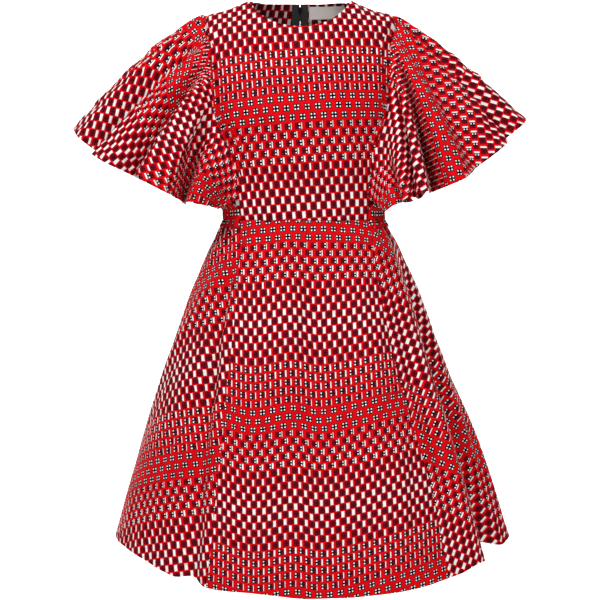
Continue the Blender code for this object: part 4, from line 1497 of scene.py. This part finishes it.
def wax_print(name, painted_shade_factor):
    """Wax print cotton: plain-woven, its dyes printed in a graded check."""
    made, tree, shader, new = new_material(name)
    if not new:
        return made
    sizes = bpy.context.scene.dress_print
    bars, blocks = [], []
    for rows in PRINT:
        for i in range(rows.rows):
            white = np.interp(i, (0, rows.rows - 1), (rows.white_first, rows.white_last))
            bars.append((round(float(white), 3), rows.block, 0.0))
            blocks.append((rows.left, rows.right, 0.0))
    place = add(tree, "ShaderNodeUVMap", uv_map="cloth")
    # The wax lets the dyes creep, so no edge of the print is quite straight
    creep = add(tree, "ShaderNodeTexNoise", {"Vector": place.outputs[0], "Scale": 300.0, "Detail": 2.0})
    moved = add(
        tree,
        "ShaderNodeVectorMath",
        {0: creep.outputs["Color"], 1: (0.5, 0.5, 0.5)},
        operation="SUBTRACT",
    )
    shaken = add(
        tree,
        "ShaderNodeVectorMath",
        {0: moved.outputs[0], 1: (DYE_CREEP, DYE_CREEP, 0.0), 2: place.outputs[0]},
        operation="MULTIPLY_ADD",
    )
    split = add(tree, "ShaderNodeSeparateXYZ", {0: shaken.outputs[0]})
    made_of = {"u": split.outputs[0], "v": split.outputs[1]}
    block = sizes.block
    steps = (
        ("across", "DIVIDE", "u", sizes.cell_width),
        ("down", "DIVIDE", "v", sizes.row_height),
        ("row", "FLOOR", "down"),
        ("odd", "FLOORED_MODULO", "row", 2.0),
        ("brick", "MULTIPLY_ADD", "odd", 0.5, "across"),
        ("x", "FRACT", "brick"),
        ("y", "FRACT", "down"),
        ("turn", "FLOORED_MODULO", "row", float(PRINT_CYCLE)),
        ("nudged", "ADD", "turn", 0.5),
        ("share", "DIVIDE", "nudged", float(PRINT_CYCLE)),
        ("from_middle", "SUBTRACT", "y", 0.5),
        ("off_middle", "ABSOLUTE", "from_middle"),
        ("half_height", "MULTIPLY", "height", 0.5),
        ("in_row", "LESS_THAN", "off_middle", "half_height"),
        ("from_start", "SUBTRACT", "x", BLOCK_START),
        ("past_start", "GREATER_THAN", "from_start", 0.0),
        ("before_end", "LESS_THAN", "from_start", block),
        ("in_block_x", "MULTIPLY", "past_start", "before_end"),
        ("in_block", "MULTIPLY", "in_block_x", "in_row"),
        ("bar_end", "ADD", "white", block),
        ("before_bar_end", "LESS_THAN", "from_start", "bar_end"),
        ("past_block", "GREATER_THAN", "from_start", block),
        ("in_bar_x", "MULTIPLY", "before_bar_end", "past_block"),
        ("in_bar", "MULTIPLY", "in_bar_x", "in_row"),
        ("block_share", "DIVIDE", "from_start", block),
        ("right_half", "GREATER_THAN", "block_share", 0.5),
        ("twice", "MULTIPLY", "block_share", 2.0),
        ("dot_x", "FRACT", "twice"),
        ("dot_from_x", "SUBTRACT", "dot_x", 0.5),
        ("tall_share", "DIVIDE", "from_middle", "half_height"),
        ("dot_y", "FRACT", "tall_share"),
        ("dot_from_y", "SUBTRACT", "dot_y", 0.5),
        ("square_y", "MULTIPLY", "dot_from_y", "dot_from_y"),
        ("square", "MULTIPLY_ADD", "dot_from_x", "dot_from_x", "square_y"),
        ("in_dot_shape", "LESS_THAN", "square", DOT_RADIUS**2),
        ("in_dot", "MULTIPLY", "in_dot_shape", "in_block"),
        ("gap", "SUBTRACT", "right", "left"),
        ("dotted", "MULTIPLY_ADD", "gap", "right_half", "left"),
    )
    for label, operation, *inputs in steps:
        values = {i: made_of.get(x, x) for i, x in enumerate(inputs)}
        made_of[label] = add(tree, "ShaderNodeMath", values, operation=operation).outputs[0]
        if label == "share":
            for names, by_row in ((("white", "height"), bars), (("left", "right"), blocks)):
                read = print_ramp(tree, made_of["share"], by_row)
                made_of.update(zip(names, read.outputs))
    # Slow changes of the red, where the dye took more or less, all drawn darker on the inside faces as
    # painted shade
    mottle = add(tree, "ShaderNodeTexNoise", {"Vector": place.outputs[0], "Scale": 60.0, "Detail": 4.0})
    uneven = add(
        tree,
        "ShaderNodeMapRange",
        {
            "Value": mottle.outputs[0],
            "From Min": 0.3,
            "From Max": 0.7,
            "To Min": DYE_LEAST * painted_shade_factor,
            "To Max": DYE_MOST * painted_shade_factor,
        },
    )
    last = (*sizes.red, 1)
    dot = add(
        tree,
        "ShaderNodeMix",
        {0: made_of["dotted"], MIX_FROM: (*sizes.maroon_dot, 1), MIX_TO: (*sizes.white, 1)},
        data_type="RGBA",
    )
    dark = add(
        tree,
        "ShaderNodeMix",
        {0: made_of["dotted"], MIX_FROM: (*sizes.maroon, 1), MIX_TO: (*sizes.black, 1)},
        data_type="RGBA",
    )
    for share, colour in (
        ("in_block", dark.outputs[MIXED]),
        ("in_bar", (*sizes.white, 1)),
        ("in_dot", dot.outputs[MIXED]),
    ):
        mixed = add(
            tree,
            "ShaderNodeMix",
            {0: made_of[share], MIX_FROM: last, MIX_TO: colour},
            data_type="RGBA",
        )
        last = mixed.outputs[MIXED]
    toned = add(
        tree,
        "ShaderNodeMix",
        {0: 1.0, MIX_FROM: last, MIX_TO: uneven.outputs[0]},
        data_type="RGBA",
        blend_type="MULTIPLY",
    )
    # Threads of the plain weave, across and down
    threads = {}
    for i, way in enumerate("XY"):
        wave = add(
            tree,
            "ShaderNodeTexWave",
            {"Vector": place.outputs[0], "Scale": COTTON_THREADS},
            bands_direction=way,
        )
        threads[i] = wave.outputs["Fac"]
    weave = add(tree, "ShaderNodeMath", threads, operation="MULTIPLY")
    bump = add(
        tree, "ShaderNodeBump", {"Height": weave.outputs[0], "Strength": 0.22, "Distance": 0.0003}
    )
    shown = {"Base Color": toned.outputs[MIXED], "Normal": bump.outputs[0]}
    feed(tree, shader, {**shown, "Roughness": 0.72, "Specular IOR Level": 0.06})
    return made


def woven_tape():
    """Black polyester zip tape: a tight herringbone that stays matt."""
    made, tree, shader, new = new_material("black woven polyester tape")
    if not new:
        return made
    place = add(tree, "ShaderNodeUVMap", uv_map="cloth")
    split = add(tree, "ShaderNodeSeparateXYZ", {0: place.outputs[0]})
    steps = (
        ("PINGPONG", split.outputs[0], TAPE_FOLD),
        ("ADD", None, split.outputs[1]),
        ("MULTIPLY", None, FULL_TURN / TAPE_RIB),
        ("SINE", None),
    )
    last = None
    for operation, *inputs in steps:
        values = {i: last if x is None else x for i, x in enumerate(inputs)}
        last = add(tree, "ShaderNodeMath", values, operation=operation).outputs[0]
    colour = add(
        tree,
        "ShaderNodeMapRange",
        {"Value": last, "From Min": -1.0, "To Min": TAPE_TONES[0], "To Max": TAPE_TONES[1]},
    )
    bump = add(tree, "ShaderNodeBump", {"Height": last, "Strength": 0.4, "Distance": 0.0002})
    shown = {"Base Color": colour.outputs[0], "Normal": bump.outputs[0]}
    feed(tree, shader, {**shown, "Roughness": 0.82})
    return made


def noisy(name, colour, scale, strength, roughness):
    """A plain material with a fine unevenness, on Object coordinates."""
    made, tree, shader, new = new_material(name)
    if not new:
        return made
    place = add(tree, "ShaderNodeTexCoord")
    noise = add(
        tree, "ShaderNodeTexNoise", {"Vector": place.outputs["Object"], "Scale": scale, "Detail": 3.0}
    )
    tones = [tuple(c * share for c in linear(colour)) + (1,) for share in TONE_SHARES]
    mixed = add(
        tree,
        "ShaderNodeMix",
        {0: noise.outputs[0], MIX_FROM: tones[0], MIX_TO: tones[1]},
        data_type="RGBA",
    )
    least, most = roughness - ROUGHNESS_SPREAD, roughness + ROUGHNESS_SPREAD
    rough = add(
        tree, "ShaderNodeMapRange", {"Value": noise.outputs[0], "To Min": least, "To Max": most}
    )
    bump = add(
        tree, "ShaderNodeBump", {"Height": noise.outputs[0], "Strength": strength, "Distance": 0.0002}
    )
    shown = {"Base Color": mixed.outputs[MIXED], "Normal": bump.outputs[0]}
    feed(tree, shader, {**shown, "Roughness": rough.outputs[0]})
    return made


def moulded_nylon():
    """Black nylon monofilament, drawn and heat-set: smooth, with a soft shine."""
    return noisy("black nylon coil", "17171a", 900, 0.10, 0.38)


def nylon_slider():
    """Zinc slider with black baked enamel: even and half glossy, a little orange peel."""
    return noisy("black enamelled zinc", "131315", 700, 0.12, 0.34)


def sewing_thread():
    """Spun polyester sewing thread, matt with a twist too fine to show."""
    return noisy("red sewing thread", "b40b14", 1500, 0.3, 0.7)


def satin():
    """Woven label satin: long floats across give it a soft band of shine."""
    made, tree, shader, new = new_material("grey woven satin")
    if not new:
        return made
    place = add(tree, "ShaderNodeUVMap", uv_map="cloth")
    threads = add(
        tree,
        "ShaderNodeTexWave",
        {"Vector": place.outputs[0], "Scale": SATIN_THREADS, "Distortion": 0.4},
        bands_direction="Y",
    )
    tones = (linear("c9c2bc") + (1,), linear("e8e2dd") + (1,))
    mixed = add(
        tree,
        "ShaderNodeMix",
        {0: threads.outputs["Fac"], MIX_FROM: tones[0], MIX_TO: tones[1]},
        data_type="RGBA",
    )
    bump = add(
        tree, "ShaderNodeBump", {"Height": threads.outputs["Fac"], "Strength": 0.2, "Distance": 0.0002}
    )
    shown = {"Base Color": mixed.outputs[MIXED], "Normal": bump.outputs[0]}
    feed(tree, shader, {**shown, "Roughness": 0.42, "Sheen Weight": 0.2})
    return made


def turned_to(place, target):
    """The rotation that points a lamp or the camera from its place at a target."""
    return (Vector(target) - Vector(place)).to_track_quat("-Z", "Y").to_euler()


class DRESS_OT_stage(bpy.types.Operator):
    """Pale floor with a swept backdrop, soft studio lights and the camera"""

    bl_idname = "dress.stage"
    bl_label = "Stage"

    def execute(self, context):
        scene = context.scene
        floor_z = cad_bounds[0][2] - scene.dress_stage.floor_below
        profile = [(PAPER_FRONT, 0.0)]
        for turn in np.linspace(0, RIGHT_ANGLE, 16):
            swept, risen = math.sin(turn), 1 - math.cos(turn)
            profile.append((SWEEP_START + SWEEP_RADIUS * swept, SWEEP_RADIUS * risen))
        profile.append((SWEEP_START + SWEEP_RADIUS, PAPER_HEIGHT))
        edges = (-PAPER_HALF_WIDTH, PAPER_HALF_WIDTH)
        vertices = np.array([(x, y, floor_z + z) for y, z in profile for x in edges])
        first = 2 * np.arange(len(profile) - 1)
        faces = np.stack((first, first + 1, first + 3, first + 2), axis=-1)
        paper = noisy("white background paper", "f4f2f0", 30, 0.02, 0.9)
        new_mesh_object("backdrop", vertices, faces, (paper,))
        for lamp in LAMPS:
            light = bpy.data.lights.new(lamp.name, "AREA")
            light.shape = "RECTANGLE"
            light.size, light.size_y = lamp.size
            light.energy = lamp.watts
            made = bpy.data.objects.new(lamp.name, light)
            made.location = lamp.place
            made.rotation_euler = turned_to(lamp.place, lamp.target)
            scene.collection.objects.link(made)
        world = bpy.data.worlds.new("studio")
        world.use_nodes = True
        shade = world.node_tree.nodes["Background"]
        shade.inputs[0].default_value = (1, 1, 1, 1)
        shade.inputs[1].default_value = WORLD_LIGHT
        scene.world = world
        lens = bpy.data.cameras.new("camera")
        lens.lens = scene.dress_stage.lens
        lens.sensor_width = SENSOR_WIDTH
        lens.sensor_fit = "HORIZONTAL"
        camera = bpy.data.objects.new("camera", lens)
        camera.location = CAMERA_PLACE
        camera.rotation_euler = turned_to(CAMERA_PLACE, CAMERA_TARGET)
        scene.collection.objects.link(camera)
        scene.camera = camera
        scene.view_settings.view_transform = "Standard"
        return {"FINISHED"}


class DRESS_PT_panel(bpy.types.Panel):
    """Lists the operators and sizes of the dress"""

    bl_idname = "DRESS_PT_panel"
    bl_label = "Dress"
    bl_space_type = "VIEW_3D"
    bl_region_type = "UI"
    bl_category = "Dress"

    def draw(self, context):
        for operator in OPERATORS:
            self.layout.operator(operator.bl_idname)
        for group in GROUPS:
            values = getattr(context.scene, GROUPS[group])
            for name in group.__annotations__:
                self.layout.prop(values, name)


OPERATORS = (
    DRESS_OT_bodice,
    DRESS_OT_skirt,
    DRESS_OT_sleeves,
    DRESS_OT_casings,
    DRESS_OT_zip,
    DRESS_OT_label,
    DRESS_OT_stitching,
    DRESS_OT_stage,
)
GROUPS = {
    DressSizes: "dress_sizes",
    PrintSizes: "dress_print",
    ZipSizes: "dress_zip",
    StageSizes: "dress_stage",
}


def register():
    for group, name in GROUPS.items():
        bpy.utils.register_class(group)
        setattr(bpy.types.Scene, name, PointerProperty(type=group))
    for operator in OPERATORS:
        bpy.utils.register_class(operator)
    bpy.utils.register_class(DRESS_PT_panel)


def unregister():
    bpy.utils.unregister_class(DRESS_PT_panel)
    for operator in OPERATORS[::-1]:
        bpy.utils.unregister_class(operator)
    for group, name in GROUPS.items():
        delattr(bpy.types.Scene, name)
        bpy.utils.unregister_class(group)


def main():
    register()
    for name in ("Cube", "Light", "Camera"):
        if name in bpy.data.objects:
            bpy.data.objects.remove(bpy.data.objects[name])
    for operator in OPERATORS:
        group, name = operator.bl_idname.split(".")
        getattr(getattr(bpy.ops, group), name)()


if __name__ == "__main__":
    main()
